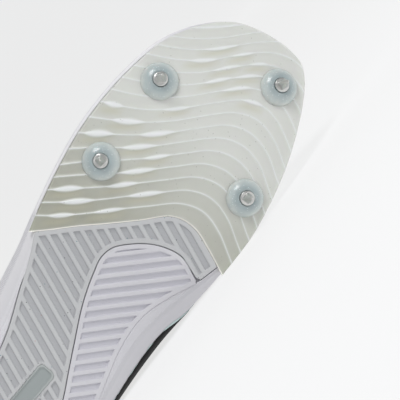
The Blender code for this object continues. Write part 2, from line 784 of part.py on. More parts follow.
def opening(number):
    """A column of the opening table at every point of the loop."""
    return smooth(column(OPENING, 0), column(OPENING, number), STATION_SHARE)


def section(number):
    """A column of the section table at every point of the loop, as a length."""
    return INSTEP_HEIGHT * smooth(column(SECTIONS, 0), column(SECTIONS, number), STATION_SHARE)


foot = ring(LIP_WALL + LIP_DRAFT + GAP, BED + GAP)
rest = ring(LIP_WALL + GAP, LIP + 2 * GAP)
top = np.column_stack([
    LENGTH * opening(1),
    BALL_WIDTH * opening(2) * SIDES,
    INSTEP_HEIGHT * opening(3),
])
fan = rest[:, :2] - top[:, :2]
fan /= np.linalg.norm(fan, axis=1)[:, None]
arch_bulge = np.where(SIDES > 0, section(5), 0.0)
first = rest + np.column_stack([OUTWARD * (section(2) + arch_bulge)[:, None],
                                section(1) - 0.5 * arch_bulge])
second = top + np.column_stack([fan * (section(4) + 0.6 * arch_bulge)[:, None], -section(3)])
outer_rows = [foot]
for t in UPPER_ROWS:
    outer_rows.append((1 - t) ** 3 * rest + 3 * t * (1 - t) ** 2 * first
                      + 3 * t * t * (1 - t) * second + t ** 3 * top)
outer = np.stack(outer_rows, axis=1)
along_loop = np.roll(outer, -1, axis=0) - np.roll(outer, 1, axis=0)
up_wall = np.gradient(outer, axis=1)
NORMALS = np.cross(along_loop, up_wall)
NORMALS /= np.linalg.norm(NORMALS, axis=2)[..., None]
NORMALS[:, 0, 2] = 0.0
NORMALS[:, 0] /= np.linalg.norm(NORMALS[:, 0], axis=1)[:, None]
upper = skin("upper", outer, outer - NORMALS * UPPER_WALL, True, MESH)


def overlay(name, stations, first_row, last_row, look):
    """A film on the upper over a run of stations and rows."""
    part = outer[stations][:, first_row:last_row + 1]
    lift = NORMALS[stations][:, first_row:last_row + 1]
    return skin(name, part + lift * (GAP + OVERLAY), part + lift * GAP, False, look)


overlay("toe_cap", np.arange(STATIONS - 6, STATIONS + 7), 2, 5, FILM)
overlay("heel_counter", np.arange(-6, 7), 2, 5, FILM)
overlay("eyestay", np.arange(12, COUNT - 11), 6, 8, FILM)
overlay("side_band_lateral", np.arange(9, 17), 1, 3, BLACK)
overlay("side_band_medial", np.arange(COUNT - 16, COUNT - 8), 2, 4, BLACK)

# Insole inside the upper's foot
clear = LIP_WALL + LIP_DRAFT + GAP + UPPER_WALL + GAP
insole = loft("insole", [
    ring(clear + 0.0004, BED + GAP),
    ring(clear, BED + GAP + INSOLE_THICKNESS * 0.3),
    ring(clear, BED + GAP + INSOLE_THICKNESS * 0.8),
    ring(clear + 0.0010, BED + GAP + INSOLE_THICKNESS),
], LINING, lambda x, y: footbed(x, y) + GAP,
    lambda x, y: footbed(x, y) + GAP + INSOLE_THICKNESS * 0.9)

# Tongue: along (LENGTH), height (INSTEP_HEIGHT), half width (BALL_WIDTH), drop (INSTEP_HEIGHT)
TONGUE = (
    (0.700, 0.648, 0.085, 0.040),
    (0.665, 0.680, 0.110, 0.050),
    (0.620, 0.742, 0.150, 0.080),
    (0.560, 0.816, 0.175, 0.100),
    (0.490, 0.904, 0.190, 0.115),
    (0.420, 0.975, 0.198, 0.125),
    (0.370, 1.016, 0.195, 0.120),
    (0.335, 1.075, 0.205, 0.110),
    (0.315, 1.160, 0.190, 0.100),
)
tongue_keys = np.arange(len(TONGUE))
tongue_steps = np.linspace(0, len(TONGUE) - 1, 15)
spans = np.linspace(-1, 1, 9)
lines = [smooth(tongue_keys, column(TONGUE, c), tongue_steps) for c in range(4)]
tongue_top = np.zeros((len(tongue_steps), len(spans), 3))
tongue_top[..., 0] = (LENGTH * lines[0])[:, None]
tongue_top[..., 1] = BALL_WIDTH * lines[2][:, None] * spans
tongue_top[..., 2] = INSTEP_HEIGHT * (lines[1][:, None] - lines[3][:, None] * spans ** 2)
slope = np.cross(np.gradient(tongue_top, axis=1), np.gradient(tongue_top, axis=0))
slope /= np.linalg.norm(slope, axis=2)[..., None]
slope *= np.sign(slope[..., 2:3])
thin = 1 - 0.45 * np.abs(spans) ** 3
tongue = skin("tongue", tongue_top, tongue_top - slope * (TONGUE_THICKNESS * thin)[None, :, None],
              False, LINING)

# Laces: crossings between pairs of eyelets, joined into one solid
EYELET_STATIONS = (13, 14, 15, 16, 18)
eyelet_row = 7
runs = []
for low, high in zip(EYELET_STATIONS, EYELET_STATIONS[1:]):
    runs.append((low, COUNT - high))
    runs.append((high, COUNT - low))
runs.append((EYELET_STATIONS[-1], COUNT - EYELET_STATIONS[-1]))
lift = 2 * GAP + OVERLAY + LACE_RADIUS
laces = None
for number, (a, b) in enumerate(runs):
    path = [outer[a, eyelet_row] + NORMALS[a, eyelet_row] * lift]
    path.append(outer[a, -1] + NORMALS[a, -1] * lift + (0, 0, LACE_RADIUS * 0.25))
    path.append(0.5 * (outer[a, -1] + outer[b, -1]) + (0, 0, lift + LACE_BOW))
    path.append(outer[b, -1] + NORMALS[b, -1] * lift + (0, 0, LACE_RADIUS * 0.25))
    path.append(outer[b, eyelet_row] + NORMALS[b, eyelet_row] * lift)
    curve = bpy.data.curves.new(f"lace_{number}", "CURVE")
    curve.dimensions = "3D"
    curve.bevel_depth = LACE_RADIUS
    curve.bevel_resolution = 1
    curve.use_fill_caps = True
    spline = curve.splines.new("POLY")
    spline.points.add(len(path) - 1)
    for point, spot in zip(spline.points, path):
        point.co = (*spot, 1)
    run = to_mesh(bpy.data.objects.new(f"lace_{number}", curve))
    if laces is None:
        laces = run
        laces.name = "laces"
        finish(laces, LACE)
    else:
        boolean(laces, run, "UNION")

# The shoe lies on the face of its convex hull nearest to upright among those it can rest on
bpy.context.view_layer.update()
graph = bpy.context.evaluated_depsgraph_get()
bodies = [item for item in PARTS.objects if item.type == "MESH"]
cloud = []
volume = 0.0
moment = Vector((0, 0, 0))
DENSITY = {"steel": 7.8, "rubber": 1.1, "translucent plate": 1.1, "foam": 0.16}
for body in bodies:
    shape = body.evaluated_get(graph)
    mesh = shape.to_mesh()
    mesh.calc_loop_triangles()
    spots = [body.matrix_world @ v.co for v in mesh.vertices]
    cloud += spots
    weight = DENSITY.get(body.data.materials[0].name, 0.6)
    for tri in mesh.loop_triangles:
        a, b, c = (spots[i] for i in tri.vertices)
        piece = a.dot(b.cross(c)) / 6 * weight
        volume += piece
        moment += (a + b + c) / 4 * piece
    shape.to_mesh_clear()
centre = moment / volume
hull = bmesh.new()
for spot in cloud:
    hull.verts.new(spot)
found = bmesh.ops.convex_hull(hull, input=hull.verts)
bmesh.ops.recalc_face_normals(hull, faces=hull.faces)
base = Vector((0, 0, -1))
for face in hull.faces:
    height = (face.verts[0].co - centre).dot(face.normal)
    foot_spot = centre + face.normal * height
    if face.normal.y > base.y and bmesh.geometry.intersect_face_point(face, foot_spot):
        base = face.normal.copy()
        print("rests on", [tuple(round(c * 1000, 1) for c in v.co) for v in face.verts])
hull.free()
lay = base.rotation_difference(Vector((0, 0, -1))).to_matrix()
toe_way = lay @ Vector((1, 0, 0))
swing = Matrix.Rotation(-math.atan2(toe_way.y, toe_way.x), 3, "Z")
attitude = (swing @ lay).to_4x4()
laid = np.array([attitude @ spot for spot in cloud])
least = laid.min(axis=0)
most = laid.max(axis=0)
shift = Vector((-(least[0] + most[0]) / 2, -(least[1] + most[1]) / 2, -least[2]))
axes = bpy.data.objects.new("shoe_axes", None)
PARTS.objects.link(axes)
axes.matrix_world = Matrix.Translation(shift) @ attitude
for item in list(PARTS.objects) + list(CUTTERS.objects):
    if item is not axes:
        item.parent = axes
turned_by = attitude.to_euler("XYZ")
print("centre of mass", [round(c * 1000, 1) for c in centre])
print("attitude, degrees", [round(math.degrees(a), 3) for a in turned_by])
print("shift, mm", [round(c * 1000, 3) for c in shift])
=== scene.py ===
# %% [markdown]
# # A track spike shoe on its side
# The shoe lies with its sole turned to the viewer. Its solids come from the CAD frame, and each
# cell below dresses one of them with a finer surface and a finish. The tables of sizes are the
# CAD's own, so that every new surface lands on the solid it stands for.

# %% Load the frame and keep its box
import math

import bmesh
import bpy
import numpy as np
from mathutils import Euler, Matrix, Vector


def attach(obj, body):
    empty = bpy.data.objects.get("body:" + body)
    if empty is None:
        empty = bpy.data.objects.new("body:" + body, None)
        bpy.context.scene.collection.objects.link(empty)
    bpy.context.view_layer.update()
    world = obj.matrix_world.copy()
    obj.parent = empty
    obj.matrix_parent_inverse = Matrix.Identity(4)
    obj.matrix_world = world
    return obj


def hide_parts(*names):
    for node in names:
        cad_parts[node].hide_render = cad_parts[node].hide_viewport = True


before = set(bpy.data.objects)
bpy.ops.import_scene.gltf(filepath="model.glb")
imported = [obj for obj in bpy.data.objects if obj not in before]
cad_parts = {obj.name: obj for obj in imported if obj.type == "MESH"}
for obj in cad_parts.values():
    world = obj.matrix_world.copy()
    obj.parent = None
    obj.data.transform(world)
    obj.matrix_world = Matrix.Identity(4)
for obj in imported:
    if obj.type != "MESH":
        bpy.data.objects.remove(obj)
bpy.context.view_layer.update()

# %% [markdown]
# ## From the shoe's axes to the room
# A shoe is easiest to draw standing up: X from heel to toe, Y towards the big toe, Z up. One
# rotation and one shift then lay every point on its side, which is safer than turning objects,
# because the finished pieces stay at the origin and unturned.

# %% Lay points on their side
TURN = np.array(Euler((math.radians(-88.968), math.radians(-5.951), 0.0)).to_matrix())
SHIFT = np.array((-0.141764, -0.038792, 0.030556))


def lay(points):
    """Points in the shoe's axes, turned and shifted to where the shoe lies."""
    return np.asarray(points, float) @ TURN.T + SHIFT


print("ball of the sole lies at", lay((0.2, 0.0, 0.0)).round(4))

# %% [markdown]
# ## Camera
# The viewer looks square at the forefoot, with the toe up to the right. The three camera axes
# are written in the shoe's axes and laid down with the shoe, which rolls the camera instead of
# lifting the shoe off the floor.

# %% Camera axes, distance and lens
TILT = math.radians(5.3)
TO_CAMERA = np.array((0.0, -math.sin(TILT), -math.cos(TILT)))
ACROSS = np.array((0.0, math.cos(TILT), -math.sin(TILT)))
FORWARD = np.array((1.0, 0.0, 0.0))
IMAGE_RIGHT = 0.530 * FORWARD + 0.848 * ACROSS
IMAGE_UP = 0.848 * FORWARD - 0.530 * ACROSS
TARGET = np.array((0.1966, 0.0195, 0.003))
DISTANCE = 0.9


def in_room(right, up, back):
    """A place given in camera axes from the target, in metres."""
    spot = TARGET + IMAGE_RIGHT * right + IMAGE_UP * up + TO_CAMERA * back
    return Vector(lay(spot))


camera_data = bpy.data.cameras.new("camera")
camera_data.lens = 167
camera_data.clip_end = 60
camera = bpy.data.objects.new("camera", camera_data)
bpy.context.scene.collection.objects.link(camera)
columns = [TURN @ axis for axis in (IMAGE_RIGHT, IMAGE_UP, TO_CAMERA)]
camera.matrix_world = Matrix(np.stack(columns, axis=1).tolist()).to_4x4()
camera.location = in_room(0, 0, DISTANCE)
bpy.context.scene.camera = camera
print("camera stands at", [round(c, 3) for c in camera.location])

# %% [markdown]
# ## Colours and nodes
# Colours are read off as sRGB, while shaders work in linear light, so one function converts
# them. One more adds any node with its settings and links, and the rest are short names for
# the nodes used most.

# %% Colour and node helpers


def linear(code):
    """An sRGB hex colour as linear RGBA: the low end is divided, the rest follows a power."""
    value = np.array([int(code[i:i + 2], 16) for i in (1, 3, 5)]) / 255
    light = np.where(value <= 0.04045, value / 12.92, ((value + 0.055) / 1.055) ** 2.4)
    return (*(float(part) for part in light), 1.0)


def node(material, kind, inputs=None, **settings):
    """Adds a node of any kind, sets its settings, and sets or links its inputs."""
    made = material.node_tree.nodes.new("ShaderNode" + kind)
    for key, value in settings.items():
        setattr(made, key, value)
    for key, value in (inputs or {}).items():
        socket = made.inputs[key]
        if isinstance(value, bpy.types.NodeSocket):
            material.node_tree.links.new(value, socket)
        else:
            socket.default_value = value
    return made


def mixed(material, factor, low, high):
    """Mixes two colours, each a hex code or a socket, by a factor."""
    low, high = (linear(part) if isinstance(part, str) else part for part in (low, high))
    return node(material, "Mix", {"Factor": factor, 6: low, 7: high}, data_type="RGBA").outputs[2]


def read(material, name):
    """Reads an attribute of the mesh: "shoe" is a place in millimetres, the rest are numbers."""
    made = node(material, "Attribute", attribute_name=name)
    return made.outputs["Vector" if name == "shoe" else "Fac"]


def noise(material, vector, scale, detail):
    """Cloudy noise from 0 to 1."""
    return node(material, "TexNoise",
                {"Vector": vector, "Scale": scale, "Detail": detail}).outputs[0]


def maths(material, operation, *terms):
    """One sum on numbers or sockets."""
    return node(material, "Math", dict(enumerate(terms)), operation=operation).outputs[0]


def ranged(material, value, **ends):
    """Stretches a value between ends named from_min, from_max, to_min and to_max."""
    inputs = {key.replace("_", " ").title(): end for key, end in ends.items()}
    return node(material, "MapRange", {"Value": value, **inputs}).outputs[0]


def dots(material, vector, scale, size):
    """Cells of a Voronoi pattern: a mask of small dots in their middles, and their colours."""
    cells = node(material, "TexVoronoi", {"Vector": vector, "Scale": scale})
    return maths(material, "LESS_THAN", cells.outputs["Distance"], size), cells.outputs["Color"]


def plug(material, socket, value):
    """Links a value to a named socket of the material's shader."""
    shader = material.node_tree.nodes["Principled BSDF"]
    material.node_tree.links.new(value, shader.inputs[socket])


def bumped(material, strength, distance, height):
    """Lets a height pattern tilt the shading, over a distance in metres."""
    inputs = {"Strength": strength, "Distance": distance, "Height": height}
    plug(material, "Normal", node(material, "Bump", inputs).outputs[0])


def finish_named(name, **sockets):
    """A material with one Principled shader, whose sockets are set by name."""
    material = bpy.data.materials.new(name)
    material.use_nodes = True
    shader = material.node_tree.nodes["Principled BSDF"]
    for key, value in sockets.items():
        shader.inputs[key.replace("_", " ")].default_value = value
    return material


print("mid grey is", [round(c, 3) for c in linear("#808080")])

# %% [markdown]
# ## Floor and light
# A pale studio floor that is lit so evenly that it reads as white paper. It gives off part of
# its own light, so it stays pale at a grazing view, and the rest is diffuse, so that the shoe
# still leaves a soft shadow where it touches.

# %% Floor
# a strip that runs flat towards the back, turns up in a quarter circle and ends as a wall, in m
SWEEP_START, SWEEP_RADIUS, REACH, HALF_WIDTH = 2.2, 2.0, 9.0, 14.0
sweep = np.linspace(0, math.pi / 2, 25)
run_back = np.concatenate([[-REACH], SWEEP_START + SWEEP_RADIUS * np.sin(sweep),
                           [SWEEP_START + SWEEP_RADIUS]])
run_up = np.concatenate([[0.0], SWEEP_RADIUS * (1 - np.cos(sweep)), [REACH]])
crossing = [np.full(len(run_up), side * HALF_WIDTH) for side in (-1, 1)]
sheet = np.stack([np.stack([x, run_back, run_up], axis=1) for x in crossing], axis=1)
sheet = sheet.reshape(-1, 3)
corner = np.arange(len(run_up) - 1)[:, None] * 2 + (0, 1, 3, 2)
floor_mesh = bpy.data.meshes.new("floor")
floor_mesh.from_pydata(sheet.tolist(), [], corner.tolist())
floor_mesh.shade_smooth()
floor = bpy.data.objects.new("floor", floor_mesh)
bpy.context.scene.collection.objects.link(floor)
paper = finish_named("matte_paper_floor", Roughness=0.9, Emission_Strength=0.80)
place = node(paper, "TexCoord")
cloud = noise(paper, place.outputs["Object"], 0.35, 0.0)
plug(paper, "Base Color", mixed(paper, cloud, "#77787A", "#808183"))
plug(paper, "Emission Color", mixed(paper, cloud, "#F0F0EF", "#F6F6F6"))
floor_mesh.materials.append(paper)

# %% Lights


def softbox(name, place, size, power, colour="#FFFFFF"):
    """A square area light at a place in camera axes, turned to the shoe."""
    data = bpy.data.lights.new(name, "AREA")
    data.shape = "SQUARE"
    data.size = size
    data.energy = power
    data.color = linear(colour)[:3]
    light = bpy.data.objects.new(name, data)
    light.location = in_room(*place)
    aim = in_room(0, 0, 0) - light.location
    light.rotation_euler = aim.to_track_quat("-Z", "Y").to_euler()
    bpy.context.scene.collection.objects.link(light)


softbox("key", (-0.45, 0.95, 0.75), 0.5, 6.9)
softbox("fill", (-0.8, 0.1, 1.1), 0.9, 2.0)
room = bpy.data.worlds.new("studio")
room.use_nodes = True
room.node_tree.nodes["Background"].inputs["Color"].default_value = linear("#F4F6F8")
room.node_tree.nodes["Background"].inputs["Strength"].default_value = 0.33
bpy.context.scene.world = room
bpy.context.scene.view_settings.view_transform = "Standard"
print("two softboxes and a pale room")

# %% [markdown]
# ## The last: sizes and curves shared by all pieces
# A shoe is built round a last, so the outline, the rise of the toe and the height of the lip
# are tables along its length. A cubic curve runs through each table, as a loftsman's batten
# would.

# %% Overall sizes in metres
LENGTH = 0.284
BALL_WIDTH = 0.100
INSTEP_HEIGHT = 0.0785
HEEL_STACK = 0.0190
SIDE_FLARE = 0.0110
TREAD = 0.0028
GAP = 0.0003
SEAM = 0.0001

# %% Curves through tables


def smooth(keys, values, where):
    """A cubic through the keys, each slope taken from its neighbours; keys run along axis 0."""
    keys = np.asarray(keys, float)
    values = np.asarray(values, float)
    slopes = np.gradient(values, keys, axis=0)
    where = np.clip(np.asarray(where, float), keys[0], keys[-1])
    cell = np.clip(np.searchsorted(keys, where) - 1, 0, len(keys) - 2)
    span = keys[cell + 1] - keys[cell]
    u = (where - keys[cell]) / span
    if values.ndim > 1:
        span, u = span[:, None], u[:, None]
    rise = values[cell + 1] - values[cell]
    a = slopes[cell] * span - rise
    b = rise - slopes[cell + 1] * span
    return values[cell] + u * rise + u * (1 - u) * ((1 - u) * a + u * b)


def ease(value):
    """A soft step from 0 to 1: the cubic 3t2 - 2t3 of the clipped value."""
    value = np.clip(value, 0, 1)
    return value * value * (3 - 2 * value)


def unit(ways):
    """Directions brought to length one."""
    return ways / np.linalg.norm(ways, axis=-1)[..., None]


def reach_along(spots):
    """Length of a path up to each of its points."""
    return np.concatenate([[0], np.cumsum(np.linalg.norm(np.diff(spots, axis=0), axis=1))])


def circle(count):
    """Even angles once round, the last of them a step short of the first."""
    return np.linspace(0, 2 * math.pi, count, endpoint=False)


def right_of(line):
    """Unit directions to the right of a flat line, at each of its points."""
    way = unit(np.gradient(line, axis=0))
    return np.stack([way[:, 1], -way[:, 0]], axis=1)


# Outline seen from above: along (LENGTH), lateral and medial edge (BALL_WIDTH)
OUTLINE = np.array((
    (0.000, 0.000, 0.000), (0.011, -0.145, 0.135), (0.035, -0.245, 0.235),
    (0.077, -0.310, 0.305), (0.141, -0.352, 0.350), (0.211, -0.378, 0.374),
    (0.299, -0.395, 0.392), (0.387, -0.412, 0.406), (0.458, -0.430, 0.424),
    (0.528, -0.461, 0.455), (0.606, -0.486, 0.488), (0.687, -0.496, 0.511),
    (0.757, -0.480, 0.502), (0.827, -0.441, 0.474), (0.887, -0.384, 0.430),
    (0.937, -0.288, 0.380), (0.972, -0.180, 0.325), (0.991, -0.080, 0.262),
    (1.000, 0.110, 0.110)))
# Side of the sole: along, lip and footbed height (HEEL_STACK), flare lateral and medial
SIDE = np.array((
    (0.000, 1.60, 1.02, 0.45, 0.45), (0.100, 1.50, 1.00, 0.55, 0.50),
    (0.220, 1.38, 0.97, 0.75, 0.60), (0.330, 1.24, 0.83, 0.90, 0.80),
    (0.430, 1.08, 0.67, 0.65, 1.00), (0.520, 0.88, 0.55, 0.35, 0.75),
    (0.610, 0.70, 0.47, 0.15, 0.30), (0.700, 0.63, 0.44, 0.08, 0.08),
    (0.850, 0.58, 0.40, 0.08, 0.05), (0.940, 0.60, 0.39, 0.08, 0.05),
    (1.000, 0.68, 0.39, 0.06, 0.06)))


def turn(share):
    """The angle from heel (0) to toe (pi) that crowds stations at both round ends."""
    return np.arccos(1 - 2 * np.clip(share, 0, 1))


def edge(share, side):
    """Across position of the outline on the lateral (-1) or medial (1) side."""
    return BALL_WIDTH * smooth(turn(OUTLINE[:, 0]), OUTLINE[:, 1 if side < 0 else 2], turn(share))


def ground(x, y):
    """Height of the worn surface: toe spring, arch, heel bevel and a crown across the ball."""
    along = x / LENGTH
    toe = 0.0185 * np.clip((along - 0.655) / 0.345, 0, None) ** 1.9
    arch = 0.006 * np.cos(math.pi / 2 * np.clip((along - 0.43) / 0.20, -1, 1)) ** 2
    heel = 0.005 * np.clip((0.07 - along) / 0.07, 0, 1) ** 2
    crown = 0.0035 * (2 * y / BALL_WIDTH) ** 2 * ease((along - 0.45) / 0.20)
    return toe + arch + heel + crown


# %% The loop of stations round the sole
STATIONS = 520
ANGLE = circle(STATIONS)
ON_LATERAL = ANGLE <= math.pi
FOLDED = np.where(ON_LATERAL, ANGLE, 2 * math.pi - ANGLE)
SHARE = (1 - np.cos(FOLDED)) / 2
PLAN = np.stack([LENGTH * SHARE, np.where(ON_LATERAL, edge(SHARE, -1), edge(SHARE, 1))], axis=1)
around = unit(np.roll(PLAN, -1, axis=0) - np.roll(PLAN, 1, axis=0))
OUTWARD = np.stack([around[:, 1], -around[:, 0]], axis=1)
LIP = HEEL_STACK * smooth(SIDE[:, 0], SIDE[:, 1], SHARE)
BED = HEEL_STACK * smooth(SIDE[:, 0], SIDE[:, 2], SHARE)
FLARE = SIDE_FLARE * np.where(ON_LATERAL, smooth(SIDE[:, 0], SIDE[:, 3], SHARE),
                              smooth(SIDE[:, 0], SIDE[:, 4], SHARE))


def on_ground(flat, height):
    """Flat points raised to a height above the worn surface."""
    z = ground(flat[..., 0], flat[..., 1]) + height
    return np.concatenate([flat, z[..., None]], axis=-1)


def ring(inset, height):
    """The outline moved inwards and raised, one point a station."""
    return on_ground(PLAN - OUTWARD * np.broadcast_to(inset, STATIONS)[:, None], height)


def filled(line, shares, height):
    """Rings at a height between a loop's middle line, share 0, and the loop, share 1."""
    middle = 0.5 * (line + np.roll(line[::-1], 1, axis=0))
    return [on_ground(middle + (line - middle) * share, height) for share in shares]


print("outline of", STATIONS, "stations,", round(float(np.ptp(PLAN[:, 1])) * 1000, 1), "mm wide")

# %% [markdown]
# ## From grids to meshes
# Every piece here is a stack of closed rings: rings along the plate, round a spike, across a
# lace. One function turns such a stack into a watertight mesh, keeps the shoe's own
# millimetres on each point for the patterns, and turns the faces outwards by the sign of the
# volume.

# %% Skin over rings


def skin(name, rings, material, nodes=(), wrap=False, caps=True, weld=False, fields=None,
         crease=50.0):
    """Joins each ring to the next point by point; caps fill the first and last ring."""
    n, m = rings.shape[:2]
    index = np.arange(n * m).reshape(n, m)
    low = index if wrap else index[:-1]
    high = np.roll(index, -1, axis=0) if wrap else index[1:]
    quads = np.stack([low, high, np.roll(high, -1, axis=1), np.roll(low, -1, axis=1)], axis=-1)
    quads = quads.reshape(-1, 4)
    spots = rings.reshape(-1, 3)
    p, q, r, s = (spots[quads[:, k]] for k in range(4))
    volume = np.sum(p * np.cross(q, r)) + np.sum(p * np.cross(r, s))
    lids = [index[0], index[-1][::-1]] if caps and not wrap else []
    if volume < 0:
        quads = quads[:, ::-1]
        lids = [lid[::-1] for lid in lids]
    corners = np.concatenate([quads.ravel()] + lids)
    starts = np.concatenate([np.arange(len(quads)) * 4] +
                            [[quads.size + k * m] for k in range(len(lids))])
    mesh = bpy.data.meshes.new(name)
    mesh.vertices.add(len(spots))
    mesh.vertices.foreach_set("co", lay(spots).ravel())
    mesh.loops.add(len(corners))
    mesh.loops.foreach_set("vertex_index", corners.astype(np.int32))
    mesh.polygons.add(len(starts))
    mesh.polygons.foreach_set("loop_start", starts.astype(np.int32))
    mesh.update(calc_edges=True)
    kept = mesh.attributes.new("shoe", "FLOAT_VECTOR", "POINT")
    kept.data.foreach_set("vector", (spots * 1000).ravel())
    for key, value in (fields or {}).items():
        kept = mesh.attributes.new(key, "FLOAT", "POINT")
        kept.data.foreach_set("value", np.broadcast_to(value, (n, m)).astype(float).ravel())
    if weld:
        work = bmesh.new()
        work.from_mesh(mesh)
        bmesh.ops.remove_doubles(work, verts=work.verts, dist=2e-6)
        work.to_mesh(mesh)
        work.free()
    mesh.shade_smooth()
    mesh.set_sharp_from_angle(angle=math.radians(crease))
    made = bpy.data.objects.new(name, mesh)
    mesh.materials.append(material)
    bpy.context.scene.collection.objects.link(made)
    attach(made, "root")
    if nodes:
        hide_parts(*nodes)
    print(name, len(mesh.polygons), "faces")
    return made


# %% [markdown]
# ## Moulded foam
# The midsole is an injected foam such as EVA or a nylon elastomer foam. The mould leaves a thin
# satin skin, faintly lilac next to warm white, with a fine grain where the mould was etched.
# Attributes say where the grain sits, where the slanted rib lines of the side are and where a
# groove is cut.

# %% Foam material
foam = finish_named("injected_foam_satin_skin", Roughness=0.55, IOR=1.45)
where = read(foam, "shoe")
grain_mask = read(foam, "grain")
rib_mask = read(foam, "ribs")
shade = read(foam, "depth")
# mould grain is about 0.15 mm; it is drawn at 0.5 mm so that it shows
grain = noise(foam, where, 1.7, 3.0)
cloudy = noise(foam, where, 0.06, 2.0)
pale = mixed(foam, cloudy, "#D3D2D8", "#DBDADE")
grain_depth = maths(foam, "MULTIPLY", grain, grain_mask)
# the slanted lines on the side stand 1.3 mm apart
slant = node(foam, "Mapping", {"Vector": where,
                               "Rotation": (0.0, math.radians(38), math.radians(24))})
lines = node(foam, "TexWave", {"Vector": slant.outputs[0], "Scale": 0.242, "Distortion": 0.0})
line_depth = maths(foam, "MULTIPLY", lines.outputs["Fac"], rib_mask)
# painted light and shade: the foam is paler on the lateral side, where more light falls, and
# darker on the medial side
sides = node(foam, "SeparateXYZ", {0: where})
lateral_part = ranged(foam, sides.outputs[1], from_min=-24.0, from_max=-40.0)
medial_part = ranged(foam, sides.outputs[1], from_min=26.0, from_max=38.0)
lit_lateral_foam = mixed(foam, lateral_part, pale, "#ECEBEE")
lit_lateral_shaded_medial_foam = mixed(foam, medial_part, lit_lateral_foam, "#CBCACF")
# painted shade: the troughs of the slanted side lines and the groove floors are darker
line_and_groove_shade_amount = maths(foam, "MULTIPLY_ADD", line_depth, 0.7, shade)
with_line_and_groove_shade = mixed(foam, line_and_groove_shade_amount, lit_lateral_shaded_medial_foam, "#CCCBD3")
plug(foam, "Base Color", with_line_and_groove_shade)
relief = maths(foam, "MULTIPLY_ADD", line_depth, 3.2, grain_depth)
bumped(foam, 0.35, 0.0006, relief)
rough = ranged(foam, grain, to_min=0.48, to_max=0.62)
plug(foam, "Roughness", rough)

# %% Borders of the rear tread: along (LENGTH), across (BALL_WIDTH)
LATERAL_BORDER = np.array((
    (0.496, -0.400), (0.458, -0.360), (0.392, -0.308), (0.329, -0.258), (0.270, -0.236),
    (0.200, -0.240), (0.130, -0.252), (0.070, -0.220), (0.033, -0.140), (0.018, 0.000)))
MEDIAL_BORDER = np.array((
    (0.018, 0.000), (0.033, 0.140), (0.070, 0.235), (0.130, 0.285), (0.200, 0.302),
    (0.270, 0.305), (0.337, 0.276), (0.410, 0.247), (0.470, 0.257), (0.525, 0.321),
    (0.570, 0.394), (0.611, 0.440)))
FOAM_BORDER = np.array((
    (0.572, 0.385), (0.593, 0.262), (0.589, 0.150), (0.565, 0.022), (0.541, -0.045),
    (0.520, -0.062), (0.490, -0.052), (0.440, -0.020), (0.370, 0.050), (0.300, 0.125),
    (0.245, 0.190), (0.212, 0.290)))


def spread(table, steps):
    """Even steps along a smooth curve through a table of shares, as metres."""
    spots = table * (LENGTH, BALL_WIDTH)
    reach = reach_along(spots)
    return smooth(reach, spots, np.linspace(0, reach[-1], steps))


def tread_border(table, share):
    """Border point for each outline share: the outline's share is squeezed between the
    border's own ends, so both curves keep their round heel."""
    first, last = table[:, 0].min(), table[:, 0].max()
    keys = table[np.argsort(table[:, 0])]
    squeezed = first + (last - first) * np.clip(share / last, 0, 1)
    bend = (keys[:, 0] - first) / (1 - first)
    across = smooth(turn(bend), keys[:, 1], turn((squeezed - first) / (1 - first)))
    return np.stack([LENGTH * squeezed, BALL_WIDTH * across], axis=-1)


# %% [markdown]
# ## Midsole
# The midsole is one moulding: a recess for the tread, a grained strip round it, a sidewall that
# flares out and up, and a lip that holds the upper. It could be boxed out and sculpted, but its
# form is a profile carried round the outline, so it is built as rings, from the recess outwards
# and over the lip to the footbed.

# %% Midsole rings
WALL = np.array(((0.00, 1.00), (0.06, 0.90), (0.20, 0.68), (0.42, 0.38), (0.66, 0.12),
                 (0.86, 0.0), (1.0, 0.0)))
END = np.where(ON_LATERAL, LATERAL_BORDER[:, 0].max(), MEDIAL_BORDER[:, 0].max())
REAR = SHARE < END
border = np.where(ON_LATERAL[:, None], tread_border(LATERAL_BORDER, SHARE),
                  tread_border(MEDIAL_BORDER, SHARE))
border = border - np.stack([np.zeros(STATIONS), np.where(ON_LATERAL, GAP, -GAP)], axis=1)
foot_edge = PLAN - OUTWARD * (FLARE + 0.0012)[:, None]
border = np.where(REAR[:, None], border, foot_edge)
bottom = np.where(REAR, 0.0004, TREAD + GAP)
profile = []
grain_rows, rib_rows = [], []


def keep(row, grained=0.0, ribbed=0.0):
    """Adds one ring of the midsole with how grained and how ribbed it is."""
    profile.append(row)
    grain_rows.append(np.broadcast_to(grained, STATIONS))
    rib_rows.append(np.broadcast_to(ribbed, STATIONS))


for row in filled(border, (0.0, 0.3, 0.6, 0.85, 1.0), TREAD + GAP):
    keep(row)
keep(on_ground(border, bottom + 0.0003))
outer_way = np.where(REAR[:, None], foot_edge - border, OUTWARD)
strip = np.linalg.norm(outer_way, axis=1)[:, None]
way = outer_way / np.maximum(strip, 1e-6)
# beside the plate the lateral foam stands up as a narrow lip: inset and height in mm
LIP_BEAD = np.array(((3.0, 3.10), (3.0, 3.10), (1.76, 3.00), (1.74, 1.30), (1.62, 1.10),
                     (1.30, 1.00), (0.95, 0.95), (0.60, 1.05), (0.30, 1.25)))
lipped = ON_LATERAL * ease((SHARE - 0.50) / 0.03) * ease((0.985 - SHARE) / 0.05)
for t in np.linspace(0.0, 1.0, 16):
    step = np.minimum(0.00025 + strip * t, np.maximum(strip, 0.0003)) * REAR[:, None]
    reach = step[:, 0] * 1000
    bead = 0.00022 * np.exp(-((reach - 0.9) / 0.35) ** 2) * REAR
    row = border + way * step
    inset, height = (np.interp(t * 8, range(9), LIP_BEAD[:, c]) * 0.001 for c in (0, 1))
    beside = PLAN - OUTWARD * inset
    row = row + (beside - row) * lipped[:, None]
    keep(on_ground(row, (bottom - bead) * (1 - lipped) + height * lipped),
         grained=REAR * ease(reach / 0.6))
WALL_ROWS = 40
wall_start = len(profile)
